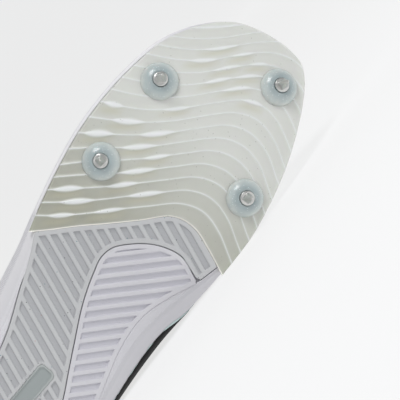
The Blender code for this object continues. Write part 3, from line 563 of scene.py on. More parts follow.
for t in np.linspace(0.0, 1.0, WALL_ROWS):
    inset = FLARE * smooth(WALL[:, 0], WALL[:, 1], t) + 0.0012 * ease((t - 0.90) / 0.10)
    corner = 0.0009 * (1 - ease(t / 0.05))
    start = (np.maximum(bottom, 0.0004) + 0.0004) * (1 - lipped) + 0.0018 * lipped
    keep(ring((inset + corner) * (1 - lipped) + 0.0002 * lipped, start + (LIP - start) * t),
         grained=REAR * (0.9 * (1 - ease((t - 0.02) / 0.16))) + 0.10,
         ribbed=np.where(ON_LATERAL, ease((t - 0.40) / 0.12) * ease((0.97 - t) / 0.04), 0.0)
         * ease((0.80 - SHARE) / 0.1))
keep(ring(0.0018, LIP + 0.0001))
keep(ring(0.0026, LIP))
keep(ring(0.0029, LIP - 0.0005))
keep(ring(0.0034, BED))
for row in filled(PLAN - OUTWARD * 0.0034, (0.75, 0.5, 0.25, 0.0), BED):
    keep(row)
skin("midsole_foam", np.stack(profile), foam, ["midsole"], caps=False, weld=True,
     fields={"grain": np.stack(grain_rows), "ribs": np.stack(rib_rows),
             "depth": np.zeros((len(profile), 1))})

# %% [markdown]
# ## Ribs of the forefoot plate
# The plate is a clear nylon or TPU moulding over the whole forefoot. Its face is fluted: long
# hollows meet in thin wavy crests, and some crests swell into small lenses. The crests are
# drawn as a table of lines across the ball, and every row of the grid runs along such a line,
# so the crests stay crisp however they bend.

# %% Rib lines
ACROSS_KEYS = 0.1 * np.array((-0.46, -0.36, -0.24, -0.12, 0.00, 0.12, 0.24, 0.36, 0.46))
RIBS = np.array((
    (0, 0.482, 0.509, 0.544, 0.576, 0.609, 0.643, 0.646, 0.627, 0.607),
    (1, 0.518, 0.539, 0.570, 0.605, 0.638, 0.669, 0.678, 0.662, 0.637),
    (5, 0.620, 0.648, 0.677, 0.708, 0.743, 0.775, 0.784, 0.771, 0.743),
    (9, 0.746, 0.758, 0.778, 0.807, 0.844, 0.877, 0.886, 0.870, 0.845),
    (13, 0.849, 0.861, 0.879, 0.905, 0.943, 0.974, 0.984, 0.972, 0.951),
    (16, 0.908, 0.923, 0.944, 0.974, 1.011, 1.042, 1.053, 1.042, 1.021)))


def rib_lines(numbers, across):
    """Along positions, a row for each place across and a column for each rib number."""
    keys = np.stack([np.interp(numbers, RIBS[:, 0], RIBS[:, c]) for c in range(1, 10)])
    line = smooth(ACROSS_KEYS, keys, across)
    first = (keys[1] - keys[0]) / (ACROSS_KEYS[1] - ACROSS_KEYS[0])
    last = (keys[-1] - keys[-2]) / (ACROSS_KEYS[-1] - ACROSS_KEYS[-2])
    below = np.clip(ACROSS_KEYS[0] - across, 0, None)[:, None]
    above = np.clip(across - ACROSS_KEYS[-1], 0, None)[:, None]
    return LENGTH * (line - first * below + last * above)


def plate_side(side):
    """The plate's own edge: the outline moved in by a lip that fades out at the toe."""
    share = (1 - np.cos(np.linspace(0.25 * math.pi, math.pi, 400))) / 2
    flat = np.stack([LENGTH * share, edge(share, side)], axis=1)
    out = right_of(flat) * (1 if side < 0 else -1)
    lip = 0.0015 * np.clip((1 - share) / 0.15, 0, 1) if side < 0 else 0.0 * share
    return flat - out * (GAP + lip)[:, None]


lateral_side, medial_side = plate_side(-1), plate_side(1)
TIP = 0.5 * (lateral_side[-1] + medial_side[-1])
lateral_side[-1] = medial_side[-1] = TIP

# %% Rows of the plate between its two edges
RIB_STEPS = 20
COLUMNS = 190
numbers = np.linspace(0, 16, 16 * RIB_STEPS + 1)
fine = np.linspace(-0.055, 0.055, 1401)
table = rib_lines(numbers, fine)
room_left = fine[:, None] - np.interp(table, lateral_side[:, 0], lateral_side[:, 1])
room_right = np.interp(table, medial_side[:, 0], medial_side[:, 1]) - fine[:, None]
spare = np.minimum(np.minimum(room_left, room_right), (TIP[0] - table) * 4)
held = spare > 0
first = held.argmax(axis=0)
last = len(fine) - 1 - held[::-1].argmax(axis=0)
rows = np.arange(len(numbers))
step = fine[1] - fine[0]
start = fine[first] - step * spare[first, rows] / (spare[first, rows] - spare[first - 1, rows])
stop = fine[last] + step * spare[last, rows] / (spare[last, rows] - spare[last + 1, rows])
t = np.linspace(0, 1, COLUMNS)
t = 0.8 * t + 0.2 * (1 - np.cos(math.pi * t)) / 2
plate_y = start[:, None] + (stop - start)[:, None] * t
cell = np.clip((plate_y - fine[0]) / step, 0, len(fine) - 2)
low = cell.astype(int)
mix = cell - low
plate_x = table[low, rows[:, None]] * (1 - mix) + table[low + 1, rows[:, None]] * mix
rim = np.concatenate([lateral_side, medial_side[::-1][1:]])
reach = reach_along(rim)
ends = [reach[np.argmin(np.hypot(rim[:, 0] - plate_x[-1, k], rim[:, 1] - plate_y[-1, k]))]
        for k in (0, -1)]
along_rim = ends[0] + (ends[1] - ends[0]) * t
toe = np.stack([np.interp(along_rim, reach, rim[:, c]) for c in (0, 1)], axis=-1)
flat = np.stack([plate_x, plate_y], axis=-1)
crescent = flat[-1] + (toe - flat[-1]) * np.linspace(0, 1, 15)[1:, None, None]
flat = np.concatenate([flat, crescent])
print("plate rows", flat.shape[0], "from", round(flat[0, :, 0].min() * 1000), "mm")

# %% [markdown]
# ## The plate's relief
# Between two crests the face is a hollow like the flute of a column. The height falls quickly
# from the crest and then runs level: one steep power for the thin crest and one gentle power
# for the hollow. A lens is a crest that spreads, pointed at both ends.

# %% Flutes and lenses
# Lenses: rib number, across in mm, half length in mm, half width in mm
LENSES = ((13, -14.4, 8, 1.6), (14, -10.3, 9, 1.5), (13, 0.5, 6, 1.3), (12, -2.6, 7, 1.4),
          (12, 9.8, 6, 1.2), (11, -3.5, 7, 1.6), (11, 8.2, 7, 1.4), (10, 6.8, 8, 1.6),
          (9, 16.7, 7, 1.4), (9, -13.3, 7, 1.5), (8, -30.3, 9, 2.0), (9, -40.5, 6, 1.7),
          (7, -15.3, 9, 2.1), (7, -39.1, 8, 2.1), (6, -19.4, 9, 2.0), (5, -9.4, 7, 1.7),
          (4, -13.4, 9, 2.0), (3, -16.4, 8, 1.8), (2, -4.5, 9, 1.9), (3, -37.6, 8, 1.9),
          (2, -30.6, 9, 1.9), (1, -15.3, 8, 1.5), (1, -33.5, 7, 1.5))
PITCH = 7.0
count = np.concatenate([numbers, np.linspace(16, 16.5, 15)[1:]])[:, None]
phase = np.abs(2 * (count % 1.0) - 1)
crest = 0.70 * phase ** 2 + 0.30 * phase ** 5
# swell marks the lenses themselves, and under marks the hollow just behind each of them, where a
# shadow is painted
swell = np.zeros(flat.shape[:2])
under = np.zeros(flat.shape[:2])
across = flat[..., 1] * 1000
for number, place_across, half_length, half_width in LENSES:
    off = np.abs(across - place_across) / (0.85 * half_length)
    width = 1.45 * half_width * np.clip(1 - off ** 2, 0, 1) ** 1.1 + 1e-6
    bulge = ease(1.2 * (1 - np.abs(count - number) * PITCH / width)) * (width > 0.05)
    crest = np.maximum(crest, 0.96 * bulge)
    swell = np.maximum(swell, bulge ** 1.6)
    below = np.exp(-((count - number + 0.42) / 0.26) ** 2) * np.clip(1 - (0.8 * off) ** 2, 0, 1)
    under = np.maximum(under, below)
crest = np.where(count > 16, 1 - 0.7 * ease((count - 16) * 2), crest)
sides = np.minimum(np.abs(across - across[:, :1]), np.abs(across - across[:, -1:]))
rounding = 0.0007 * (1 - np.clip(sides / 0.9, 0, 1)) ** 2
face = on_ground(flat, 0.0008 * (1 - crest) - 0.0002 * swell + rounding)
# the back is level, so it takes one column in 21
back = on_ground(flat[:, ::-21], TREAD)
plate_rings = np.concatenate([face, back], axis=1)
# at both ends the face drops straight down to the back, so that the lids lie flat
ends_down = np.concatenate([on_ground(flat, TREAD), back], axis=1)[[0, -1]]
plate_rings = np.concatenate([ends_down[:1], plate_rings, ends_down[1:]])

# %% Plate material
# Clear TPU over white board looks milky: light enters, scatters and leaves a few millimetres on
plate_finish = finish_named("moulded_translucent_tpu", Roughness=0.34, IOR=1.50,
                            Subsurface_Weight=0.45, Subsurface_Scale=0.004,
                            Subsurface_Radius=(0.9, 1.0, 0.85))
where = read(plate_finish, "shoe")
height = read(plate_finish, "crest")
along = node(plate_finish, "SeparateXYZ", {0: where})
# the plate turns darker and warmer towards the rear: partly its own warmer tone, partly painted
# shade
rearward = ranged(plate_finish, along.outputs[0], from_min=160.0, from_max=225.0)
body = mixed(plate_finish, rearward, "#A5A597", "#DFE1DC")
milk = noise(plate_finish, where, 0.09, 3.0)
drift = ranged(plate_finish, milk, to_max=0.35)
milky = mixed(plate_finish, drift, body, "#D6D8CF")
# painted highlight: the thin crests are lighter
crisp = mixed(plate_finish, height, milky, "#EAEEED")
# painted highlight: the lenses are lighter still
thick = read(plate_finish, "swell")
lens = mixed(plate_finish, thick, crisp, "#EEF1F0")
# painted shadow: a warm darker band in the hollow just behind each lens
lens_shadow_mask = read(plate_finish, "under")
warm = mixed(plate_finish, lens_shadow_mask, lens, "#C9C6AE")
# painted highlight: a pale line along the plate's rear edge
rear_edge_highlight = read(plate_finish, "rear_edge_highlight")
with_rear_edge_highlight = mixed(plate_finish, rear_edge_highlight, warm, "#FAF8EC")
# specks are under 0.1 mm; they are drawn at about 0.3 mm, one in eight cells of 1.5 mm
dot, hue = dots(plate_finish, where, 0.66, 0.13)
draw = node(plate_finish, "SeparateColor", {0: hue})
dark = maths(plate_finish, "LESS_THAN", draw.outputs[0], 0.16)
speck = maths(plate_finish, "MULTIPLY", dot, dark)
specked = mixed(plate_finish, speck, with_rear_edge_highlight, "#A3A59D")
plug(plate_finish, "Base Color", specked)
ripple = noise(plate_finish, where, 0.35, 2.0)
bumped(plate_finish, 0.12, 0.0004, ripple)
# painted light: crests, lenses and the plate's rear edge get painted highlights, and the hollow
# behind each lens a painted shadow
unlit = np.zeros(back.shape[:2])
lit = np.concatenate([crest ** 4, unlit], axis=1)
lens_lit = np.concatenate([swell, unlit], axis=1)
lens_shadow_field = np.concatenate([0.42 * under * (1 - swell), unlit], axis=1)
rear_edge_highlight_field = np.concatenate([np.broadcast_to(count < 0.08, crest.shape), unlit], axis=1)
painted_light_fields = {"crest": lit, "swell": lens_lit, "under": lens_shadow_field, "rear_edge_highlight": rear_edge_highlight_field}
painted_light_fields = {key: np.pad(value, ((1, 1), (0, 0)), mode="edge") for key, value in painted_light_fields.items()}
skin("forefoot_plate", plate_rings, plate_finish, ["plate"], weld=True, fields=painted_light_fields,
     crease=60)

# %% [markdown]
# ## Spike bosses
# Each spike screws into a boss, a domed part of the plate. A dome is a profile turned on a
# lathe, so a table of radius and height is carried round the axis of each spike.

# %% Boss profile and places
SPIKES = ((0.828, -0.275), (0.930, 0.240), (0.659, -0.312), (0.736, 0.377))
TURNS = 96


def spike_frame(along, across):
    """Axes of a spike: origin on the crests, Z out of the sole and square to the plate."""
    x, y = along * LENGTH, across * BALL_WIDTH
    dx = (ground(x + 0.006, y) - ground(x - 0.006, y)) / 0.012
    dy = (ground(x, y + 0.006) - ground(x, y - 0.006)) / 0.012
    out = Vector((dx, dy, -1)).normalized()
    axes = Vector((0, 0, 1)).rotation_difference(out).to_matrix()
    return np.array(axes), np.array((x, y, float(ground(x, y))))


def lathe(profile, frame_of, shape=None):
    """Radius and height turned round the axis; shape may then flatten the local points."""
    angle = circle(TURNS)
    radius, height = (np.asarray(part)[:, None] * 0.001 for part in zip(*profile))
    local = np.stack([radius * np.cos(angle), radius * np.sin(angle),
                      np.broadcast_to(height, (len(profile), TURNS))], axis=-1)
    if shape is not None:
        local = shape(local)
    axes, origin = frame_of
    return local @ axes.T + origin


BOSS = ((9.55, -1.3), (9.45, -0.7), (9.32, -0.1), (9.15, 0.5), (8.85, 1.15), (8.4, 1.8),
        (7.8, 2.4), (7.1, 2.95), (6.35, 3.4), (5.6, 3.75), (4.9, 4.00), (4.3, 4.12),
        (4.0, 4.12), (3.82, 4.0), (3.78, 3.3))

# %% Boss material and bosses
boss_finish = finish_named("moulded_bluish_tpu", Roughness=0.24, IOR=1.50,
                           Subsurface_Weight=0.55, Subsurface_Scale=0.004,
                           Subsurface_Radius=(0.8, 1.0, 1.05), Coat_Weight=0.25,
                           Coat_Roughness=0.12)
where = read(boss_finish, "shoe")
rise = read(boss_finish, "rise")
mist = noise(boss_finish, where, 0.25, 3.0)
# the dome is bluish grey towards the spike: partly its own tint, partly painted shade round the
# spike
tone = mixed(boss_finish, rise, "#DFE3DE", "#9FADB0")
hazy = mixed(boss_finish, mist, tone, "#B3BEBF")
dot, _ = dots(boss_finish, where, 0.9, 0.14)
sparkle = mixed(boss_finish, dot, hazy, "#EEF4F4")
plug(boss_finish, "Base Color", sparkle)
climb = ease((9.1 - np.array([radius for radius, _ in BOSS])) / 4.5)[:, None]
for number, spot in enumerate(SPIKES, 1):
    skin(f"spike_boss_{number}", lathe(BOSS, spike_frame(*spot)), boss_finish,
         fields={"rise": climb})

# %% [markdown]
# ## Steel spikes
# A track spike is turned from steel bar: a flat collar, then a short taper. Four flats are
# milled on the taper for the spike wrench. They are made by clamping two coordinates of the
# turned points, which is what the mill does.

# %% Spike material
steel = finish_named("turned_steel", Metallic=1.0, Roughness=0.3)
place = read(steel, "shoe")
lathe_marks = read(steel, "height")
marks = maths(steel, "MULTIPLY", lathe_marks, 26.0)
ridge = maths(steel, "SINE", marks)
scratch = noise(steel, place, 2.2, 4.0)
both = maths(steel, "MULTIPLY_ADD", ridge, 0.35, scratch)
bumped(steel, 0.18, 0.00015, both)
worn = mixed(steel, scratch, "#C6C6C4", "#E2E2DF")
plug(steel, "Base Color", worn)
sheen = ranged(steel, scratch, to_min=0.22, to_max=0.4)
plug(steel, "Roughness", sheen)

# %% Spike profile and spikes
SPIKE = ((2.5, 0.0), (2.5, 3.4), (3.35, 3.45), (3.55, 3.6), (3.62, 3.85), (3.62, 4.75),
         (3.52, 5.05), (3.30, 5.18), (2.85, 5.20), (2.72, 5.30), (2.70, 6.2), (2.45, 7.1),
         (2.10, 8.3), (1.70, 9.5), (1.25, 11.2), (0.85, 12.9), (0.62, 13.7), (0.42, 14.0),
         (0.16, 14.1))


def mill(local):
    """Clamps both sideways coordinates to the wrench size above the collar."""
    above = local[..., 2] > 0.00525
    milled = local.copy()
    for axis, size in ((0, 0.0019), (1, 0.0021)):
        limit = np.where(above, size, 1.0)
        milled[..., axis] = np.clip(local[..., axis], -limit, limit)
    return milled


heights = np.array([height for _, height in SPIKE])[:, None]
for number, spot in enumerate(SPIKES, 1):
    skin(f"steel_spike_{number}", lathe(SPIKE, spike_frame(*spot), mill), steel,
         [f"spike_{number}"], fields={"height": heights}, crease=32)

# %% [markdown]
# ## Grooved treads
# The rear tread has a rubber pad and a foam field, both cut by straight grooves that stop short
# of the border. A boolean would leave ragged edges, so the grid is ruled along the grooves
# instead: one line of points for each edge of a groove, each line ending on the border, with
# its points crowded near both ends where the groove climbs out.

# %% Borders of pad and foam
lateral = spread(LATERAL_BORDER, 150)
medial = spread(MEDIAL_BORDER, 200)
foam_edge = spread(FOAM_BORDER, 200)
near = int(np.argmin(np.linalg.norm(medial - foam_edge[0], axis=1)))
far = int(np.argmin(np.linalg.norm(medial - foam_edge[-1], axis=1)))
front_y = np.linspace(medial[-1, 1], lateral[0, 1], 160)[1:-1]
front = np.stack([rib_lines(np.array([0.0]), front_y)[:, 0] - SEAM, front_y], axis=1)


def shifted(line, distance):
    """A line of points moved to its right by a distance."""
    return line + right_of(line) * distance


pad_outline = np.concatenate([lateral, medial[1:far - 1], shifted(foam_edge, -0.00042)[::-1][2:-2],
                              medial[near + 2:], front])
foam_outline = np.concatenate([foam_edge, shifted(medial, -0.00045)[far + 1:near]])
print("pad border has", len(pad_outline), "points, foam border", len(foam_outline))

# %% Ruled grid with grooves


def distance_to(points, outline):
    """Distance from each point to the nearest piece of a closed outline."""
    a = outline
    b = np.roll(outline, -1, axis=0)
    way = b - a
    square = np.maximum((way ** 2).sum(axis=1), 1e-14)
    best = np.full(points.shape[:-1], 1.0)
    for k in range(len(a)):
        off = points - a[k]
        t = np.clip((off @ way[k]) / square[k], 0, 1)
        gap = off - t[..., None] * way[k]
        best = np.minimum(best, (gap ** 2).sum(axis=-1))
    return np.sqrt(best)


def ruled_tread(outline, angle, pitch, groove, phase_share, rows_between):
    """Lines at the groove angle across the outline: offset n runs square to them, u along
    them. Returns flat points and how far each lies under the groove's edge, 0 to 1."""
    along = np.array((math.cos(angle), math.sin(angle)))
    cross = np.array((along[1], -along[0]))
    offset = outline @ cross
    half = groove / 2
    marks = np.array((-half - 0.00042, -half - 0.00016, -half, -half + 0.00012, -half + 0.00034,
                      -half + 0.0006, -half * 0.4, 0.0))
    marks = np.concatenate([marks, -marks[:-1][::-1], [pitch / 2]])
    centres = np.arange(math.floor(offset.min() / pitch) - 1, offset.max() / pitch + 2)
    lines = ((centres + phase_share) * pitch)[:, None] + marks
    lines = np.unique(np.round(lines.ravel(), 6))
    lines = lines[(lines > offset.min() + 0.00005) & (lines < offset.max() - 0.00005)]
    lines = np.concatenate([[offset.min() + 0.00004], lines, [offset.max() - 0.00004]])
    here = offset[None, :] - lines[:, None]
    there = np.roll(here, -1, axis=1)
    crossing = here * there < 0
    share = here / np.where(crossing, here - there, 1.0)
    run = outline @ along
    u = run + share * (np.roll(run, -1) - run)
    low = np.where(crossing, u, 1.0).min(axis=1)
    high = np.where(crossing, u, -1.0).max(axis=1)
    close = np.array((0, 0.15, 0.3, 0.7, 1.2, 1.6, 1.85, 2.05, 2.25, 2.45, 2.7, 3.1, 3.7)) * 0.001
    reach = (high - low)[:, None]
    squeeze = np.minimum(1, reach * 0.5 / close[-1])
    inner = np.linspace(0, 1, rows_between + 2)[1:-1]
    ends = close * squeeze
    u = np.concatenate([low[:, None] + ends,
                        low[:, None] + ends[:, -1:] + (reach - 2 * ends[:, -1:]) * inner,
                        high[:, None] - ends[:, ::-1]], axis=1)
    flat = u[..., None] * along + lines[:, None, None] * cross
    place = (lines / pitch - phase_share + 0.5) % 1.0 - 0.5
    away = half - np.abs(place) * pitch
    groove_depth = np.interp(away * 1000, (-0.4, -0.14, 0.0, 0.12, 0.34, 0.6),
                             (0.0, 0.03, 0.16, 0.55, 0.93, 1.0))
    return flat, groove_depth[:, None]


# %% [markdown]
# ## Rubber pad
# The pad is a hard-wearing rubber compound, pressed with ground scrap in it, which shows as
# fine dark, teal and now and then red specks. It is duller and greyer than the foam.

# %% Rubber material
rubber = finish_named("pressed_rubber_with_specks", Roughness=0.6, IOR=1.52)
where = read(rubber, "shoe")
shade = read(rubber, "depth")
cloudy = noise(rubber, where, 0.12, 3.0)
pale = mixed(rubber, cloudy, "#C4C5C7", "#CBCCCD")
# painted shade: the groove floors are darker
with_groove_shade = mixed(rubber, shade, pale, "#B6B7BA")
# scrap is ground to about 0.2 mm; it is drawn a little larger, in one of nine cells of 2 mm
dot, hue = dots(rubber, where, 0.5, 0.115)
draw = node(rubber, "SeparateColor", {0: hue})
chosen = maths(rubber, "LESS_THAN", draw.outputs[0], 0.24)
speck = maths(rubber, "MULTIPLY", dot, chosen)
hues = node(rubber, "ValToRGB", {0: draw.outputs[1]})
hues.color_ramp.interpolation = "CONSTANT"
for place, code in ((0.0, "#2C2F33"), (0.45, "#4D7F88"), (0.78, "#5C6064"), (0.92, "#B4503C"),
                    (0.97, "#C3A23A")):
    stop_mark = hues.color_ramp.elements.new(place) if place else hues.color_ramp.elements[0]
    stop_mark.color = linear(code)
hues.color_ramp.elements.remove(hues.color_ramp.elements[-1])
specked = mixed(rubber, speck, with_groove_shade, hues.outputs[0])
plug(rubber, "Base Color", specked)
# the pressed skin has a fine tooth of about 0.3 mm
tooth = noise(rubber, where, 2.4, 3.0)
bumped(rubber, 0.15, 0.0003, tooth)
rough = ranged(rubber, tooth, to_min=0.52, to_max=0.68)
plug(rubber, "Roughness", rough)

# %% Badge place, then the pad
GROOVE_DEPTH = 0.0010
BADGE_LENGTH, BADGE_WIDTH, BADGE_RIM = 0.040, 0.0097, 0.0012
BADGE_CORNER = BADGE_WIDTH * 0.28
BADGE_SHELF = 0.0019
# a groove's wall falls over SOFT_STEP, and an outer edge is rounded over ROUNDED
SOFT_STEP, ROUNDED = 0.0004, 0.0003
badge_along = np.array((math.cos(math.radians(8.7)), math.sin(math.radians(8.7))))
badge_across = np.array((-badge_along[1], badge_along[0]))
badge_middle = np.array((0.312 * LENGTH, 0.006 * BALL_WIDTH)) - badge_along * BADGE_LENGTH / 2


def from_badge(flat):
    """Signed distance to the badge's rounded rectangle, less than 0 inside."""
    local = np.abs(np.stack([(flat - badge_middle) @ badge_along,
                             (flat - badge_middle) @ badge_across], axis=-1))
    off = local - (BADGE_LENGTH / 2 - BADGE_CORNER, BADGE_WIDTH / 2 - BADGE_CORNER)
    outside = np.linalg.norm(np.maximum(off, 0), axis=-1)
    return outside + np.minimum(off.max(axis=-1), 0) - BADGE_CORNER


def tread_piece(name, outline, angle, pitch, groove, phase_share, rim_width, material,
                nodes, rows_between, hole=None):
    """Raises a ruled grid: full height on ridge and rim, groove depth between, and closes it
    with one run along the back."""
    flat, cut = ruled_tread(outline, angle, pitch, groove, phase_share, rows_between)
    away = distance_to(flat, outline)
    cut = cut * ease((away - rim_width) / SOFT_STEP)
    rounding = ROUNDED * (1 - np.clip(away / ROUNDED, 0, 1)) ** 2
    height = cut * GROOVE_DEPTH + rounding
    if hole is not None:
        off = hole(flat)
        cut = cut * ease((off - BADGE_RIM) / SOFT_STEP)
        sunk = BADGE_SHELF * ease(-off / 0.0006)
        height = np.where(off < 0, sunk, cut * GROOVE_DEPTH + rounding)
    top = on_ground(flat, height)
    # the back is level, so it takes one column in 6
    behind = on_ground(flat[:, ::-6], TREAD)
    rings = np.concatenate([top, behind], axis=1)
    depth = np.concatenate([cut, np.zeros(behind.shape[:2])], axis=1)
    return skin(name, rings, material, nodes,
                fields={"depth": depth, "grain": 0.35 + 0.65 * depth, "ribs": 0.0})


tread_piece("rubber_tread", pad_outline, math.radians(118.3), 0.00515, 0.0031, 0.85, 0.0021,
            rubber, ["rubber_pad"], 84, from_badge)

# %% [markdown]
# ## Foam tread field
# Beside the pad the midsole foam itself comes down to the ground in a field of bars. The bars
# are hollow between raised frames, and their floors are coarser than the frames.

# %% Foam field
tread_piece("foam_tread_field", foam_outline, math.radians(51.0), 0.0050, 0.0031, 0.35, 0.0021,
            foam, ["foam_tread"], 60)

# %% [markdown]
# ## Badge frame
# A small rounded frame of smooth rubber is set into the pad. Its field is left bare. Rings of a
# rounded rectangle, each a little smaller, carry the bead of the frame and the sunk field.

# %% Badge
badge_rubber = finish_named("smooth_moulded_rubber", Roughness=0.45, IOR=1.52)
where = read(badge_rubber, "shoe")
shade = read(badge_rubber, "depth")
fog = noise(badge_rubber, where, 0.4, 3.0)
tone = mixed(badge_rubber, fog, "#ADB3B2", "#B5BAB9")
# painted shade: the sunk field is darker
field = mixed(badge_rubber, shade, tone, "#A1A8A8")
plug(badge_rubber, "Base Color", field)
bumped(badge_rubber, 0.1, 0.0003, fog)
# inset and height over the ground in mm, and how much of the sunk field shows
BADGE_PROFILE = ((0.0, 1.9, 0), (0.0, 0.55, 0), (0.10, 0.25, 0), (0.30, 0.0, 0),
                 (0.60, -0.12, 0), (0.90, -0.05, 0), (1.15, 0.25, 0.3), (1.35, 0.65, 0.8),
                 (1.60, 0.80, 1), (2.4, 0.80, 1), (3.6, 0.78, 1), (4.6, 0.78, 1))
corner_turn = circle(160)
round_way = np.stack([np.cos(corner_turn), np.sin(corner_turn)], axis=-1)
quarter = np.sign(np.stack([np.cos(corner_turn + 1e-9), np.sin(corner_turn + 1e-9)], axis=-1))
badge_rings = []
for inset, height, _ in BADGE_PROFILE:
    radius = BADGE_CORNER - inset * 0.00055
    half = np.array((BADGE_LENGTH / 2 - inset * 0.001, BADGE_WIDTH / 2 - inset * 0.001)) - radius
    half = np.maximum(half, 0.00002)
    local = quarter * half + radius * round_way
    flat = badge_middle + local[:, :1] * badge_along + local[:, 1:] * badge_across
    badge_rings.append(on_ground(flat, height * 0.001))
sunk = np.array([amount for _, _, amount in BADGE_PROFILE])[:, None]
skin("badge_frame", np.stack(badge_rings), badge_rubber, ["badge"],
     fields={"depth": sunk})

# %% [markdown]
# ## Upper
# The upper of a racing shoe is one thin sock of engineered mesh. From the lip it swells out,
# leans in over the foot and ends at the collar, so each of its sections is a Bezier curve from
# the sole to the opening. The same curves, a wall's thickness further in, make the lining, and
# a small half round joins the two at the collar.

# %% Tables of the upper
# Opening: station share, along (LENGTH), half width (BALL_WIDTH), height (INSTEP_HEIGHT)
OPENING = np.array((
    (0.00, 0.030, 0.000, 1.060), (0.08, 0.042, 0.155, 1.045), (0.16, 0.100, 0.262, 0.955),
    (0.24, 0.165, 0.298, 0.875), (0.32, 0.240, 0.305, 0.845), (0.39, 0.305, 0.285, 0.890),
    (0.44, 0.345, 0.235, 0.975), (0.48, 0.385, 0.190, 1.000), (0.54, 0.455, 0.165, 0.940),
    (0.60, 0.530, 0.145, 0.855), (0.66, 0.595, 0.125, 0.785), (0.73, 0.645, 0.100, 0.735),
    (0.82, 0.668, 0.065, 0.710), (0.91, 0.674, 0.033, 0.702), (1.00, 0.676, 0.000, 0.700)))
# Sections: station share, rise and bulge at the sole, drop and reach at the opening, arch bulge
SECTIONS = np.array((
    (0.00, 0.25, 0.03, 0.25, 0.05, 0.000), (0.16, 0.22, 0.01, 0.22, 0.04, 0.000),
    (0.32, 0.20, 0.00, 0.18, 0.03, 0.030), (0.44, 0.30, 0.01, 0.28, 0.10, 0.120),
    (0.54, 0.34, 0.01, 0.22, 0.18, 0.120), (0.66, 0.30, 0.01, 0.12, 0.28, 0.050),
    (0.80, 0.24, 0.00, 0.08, 0.45, 0.010), (0.92, 0.21, -0.01, 0.06, 0.60, 0.000),
    (1.00, 0.20, -0.02, 0.05, 0.66, 0.000)))
UPPER_WALL = 0.0018
STATION_SHARE = FOLDED / math.pi
# places on the upper are told in stations of 52: 0 at the heel, then the lateral side, 26 at
# the toe, then the medial side
LOOP = 52

# %% Outer surface of the upper
opened = smooth(OPENING[:, 0], OPENING[:, 1:], STATION_SHARE) * (LENGTH, BALL_WIDTH, INSTEP_HEIGHT)
opened[:, 1] *= np.where(ON_LATERAL, -1, 1)
rise, bulge, drop, lean, arch = (
    INSTEP_HEIGHT * smooth(SECTIONS[:, 0], SECTIONS[:, c], STATION_SHARE) for c in range(1, 6))
arch = np.where(ON_LATERAL, 0.0, arch)
foot = ring(0.0037, BED + GAP)
rest = ring(0.0029, LIP + 2 * GAP)
fan = unit(rest[:, :2] - opened[:, :2])
first_pull = rest + np.column_stack([OUTWARD * (bulge + arch)[:, None],
                                     rise - 0.5 * arch])
last_pull = opened + np.column_stack([fan * (lean + 0.6 * arch)[:, None], -drop])
ROWS = 81
t = np.linspace(0, 1, ROWS)[None, :, None]
shell = ((1 - t) ** 3 * rest[:, None] + 3 * t * (1 - t) ** 2 * first_pull[:, None]
         + 3 * t * t * (1 - t) * last_pull[:, None] + t ** 3 * opened[:, None])
along_loop = np.roll(shell, -1, axis=0) - np.roll(shell, 1, axis=0)
NORMALS = unit(np.cross(along_loop, np.gradient(shell, axis=1)))


def on_upper(station, share, lift=0.0):
    """A place on the upper: station of 52 round the loop, share 0 at the sole to 1 at the
    opening, and a lift along the surface's normal; the grid is read between its points."""
    station, share = np.broadcast_arrays(np.asarray(station, float), np.asarray(share, float))
    a = (station * STATIONS / LOOP) % STATIONS
    b = np.clip(share, 0, 1) * (ROWS - 1)
    i, j = np.floor(a).astype(int), np.minimum(np.floor(b).astype(int), ROWS - 2)
    a, b = (a - i)[..., None], (b - j)[..., None]
    i, k = i % STATIONS, (i + 1) % STATIONS
    spot, way = ((1 - a) * ((1 - b) * grid[i, j] + b * grid[i, j + 1])
                 + a * ((1 - b) * grid[k, j] + b * grid[k, j + 1]) for grid in (shell, NORMALS))
    return spot + unit(way) * np.asarray(lift)[..., None]


print("collar", round(float(opened[:, 2].max()) * 1000), "mm high")

# %% [markdown]
# ## Engineered mesh and lining
# The mesh is knitted from polyester yarn, thin enough to see its open cells, and the lining is
# the same yarn brushed flat. The pattern follows the yarn, so it is drawn on two attributes
# that run round the shoe and up the wall in millimetres.

# %% Mesh material
mesh_fabric = finish_named("engineered_polyester_mesh", Roughness=0.85, Sheen_Weight=0.15)
round_way = read(mesh_fabric, "round_mm")
up_way = read(mesh_fabric, "up_mm")
inside_of = read(mesh_fabric, "lining")
cloth = node(mesh_fabric, "CombineXYZ", {0: round_way, 1: up_way})
# real cells are about 1 mm; they are drawn at 1.7 mm so that they show from a metre
cells = node(mesh_fabric, "TexVoronoi", {"Vector": cloth.outputs[0], "Scale": 0.58,
                                         "Randomness": 0.25})
hole = node(mesh_fabric, "MapRange", {"Value": cells.outputs["Distance"], "From Min": 0.18,
                                      "From Max": 0.40}, interpolation_type="SMOOTHSTEP")
yarn = node(mesh_fabric, "TexWave", {"Vector": cloth.outputs[0], "Scale": 0.9,
                                     "Distortion": 1.2, "Detail Scale": 1.0},
            bands_direction="DIAGONAL")
woven = mixed(mesh_fabric, yarn.outputs["Fac"], "#C9CFCA", "#DCE1DC")
open_mesh = mixed(mesh_fabric, hole.outputs[0], "#8F9B97", woven)
brushed = mixed(mesh_fabric, yarn.outputs["Fac"], "#787E81", "#8E9497")
sides_of = mixed(mesh_fabric, inside_of, open_mesh, brushed)
plug(mesh_fabric, "Base Color", sides_of)
pile = maths(mesh_fabric, "MULTIPLY_ADD", hole.outputs[0], 0.7, yarn.outputs["Fac"])
bumped(mesh_fabric, 0.5, 0.0005, pile)

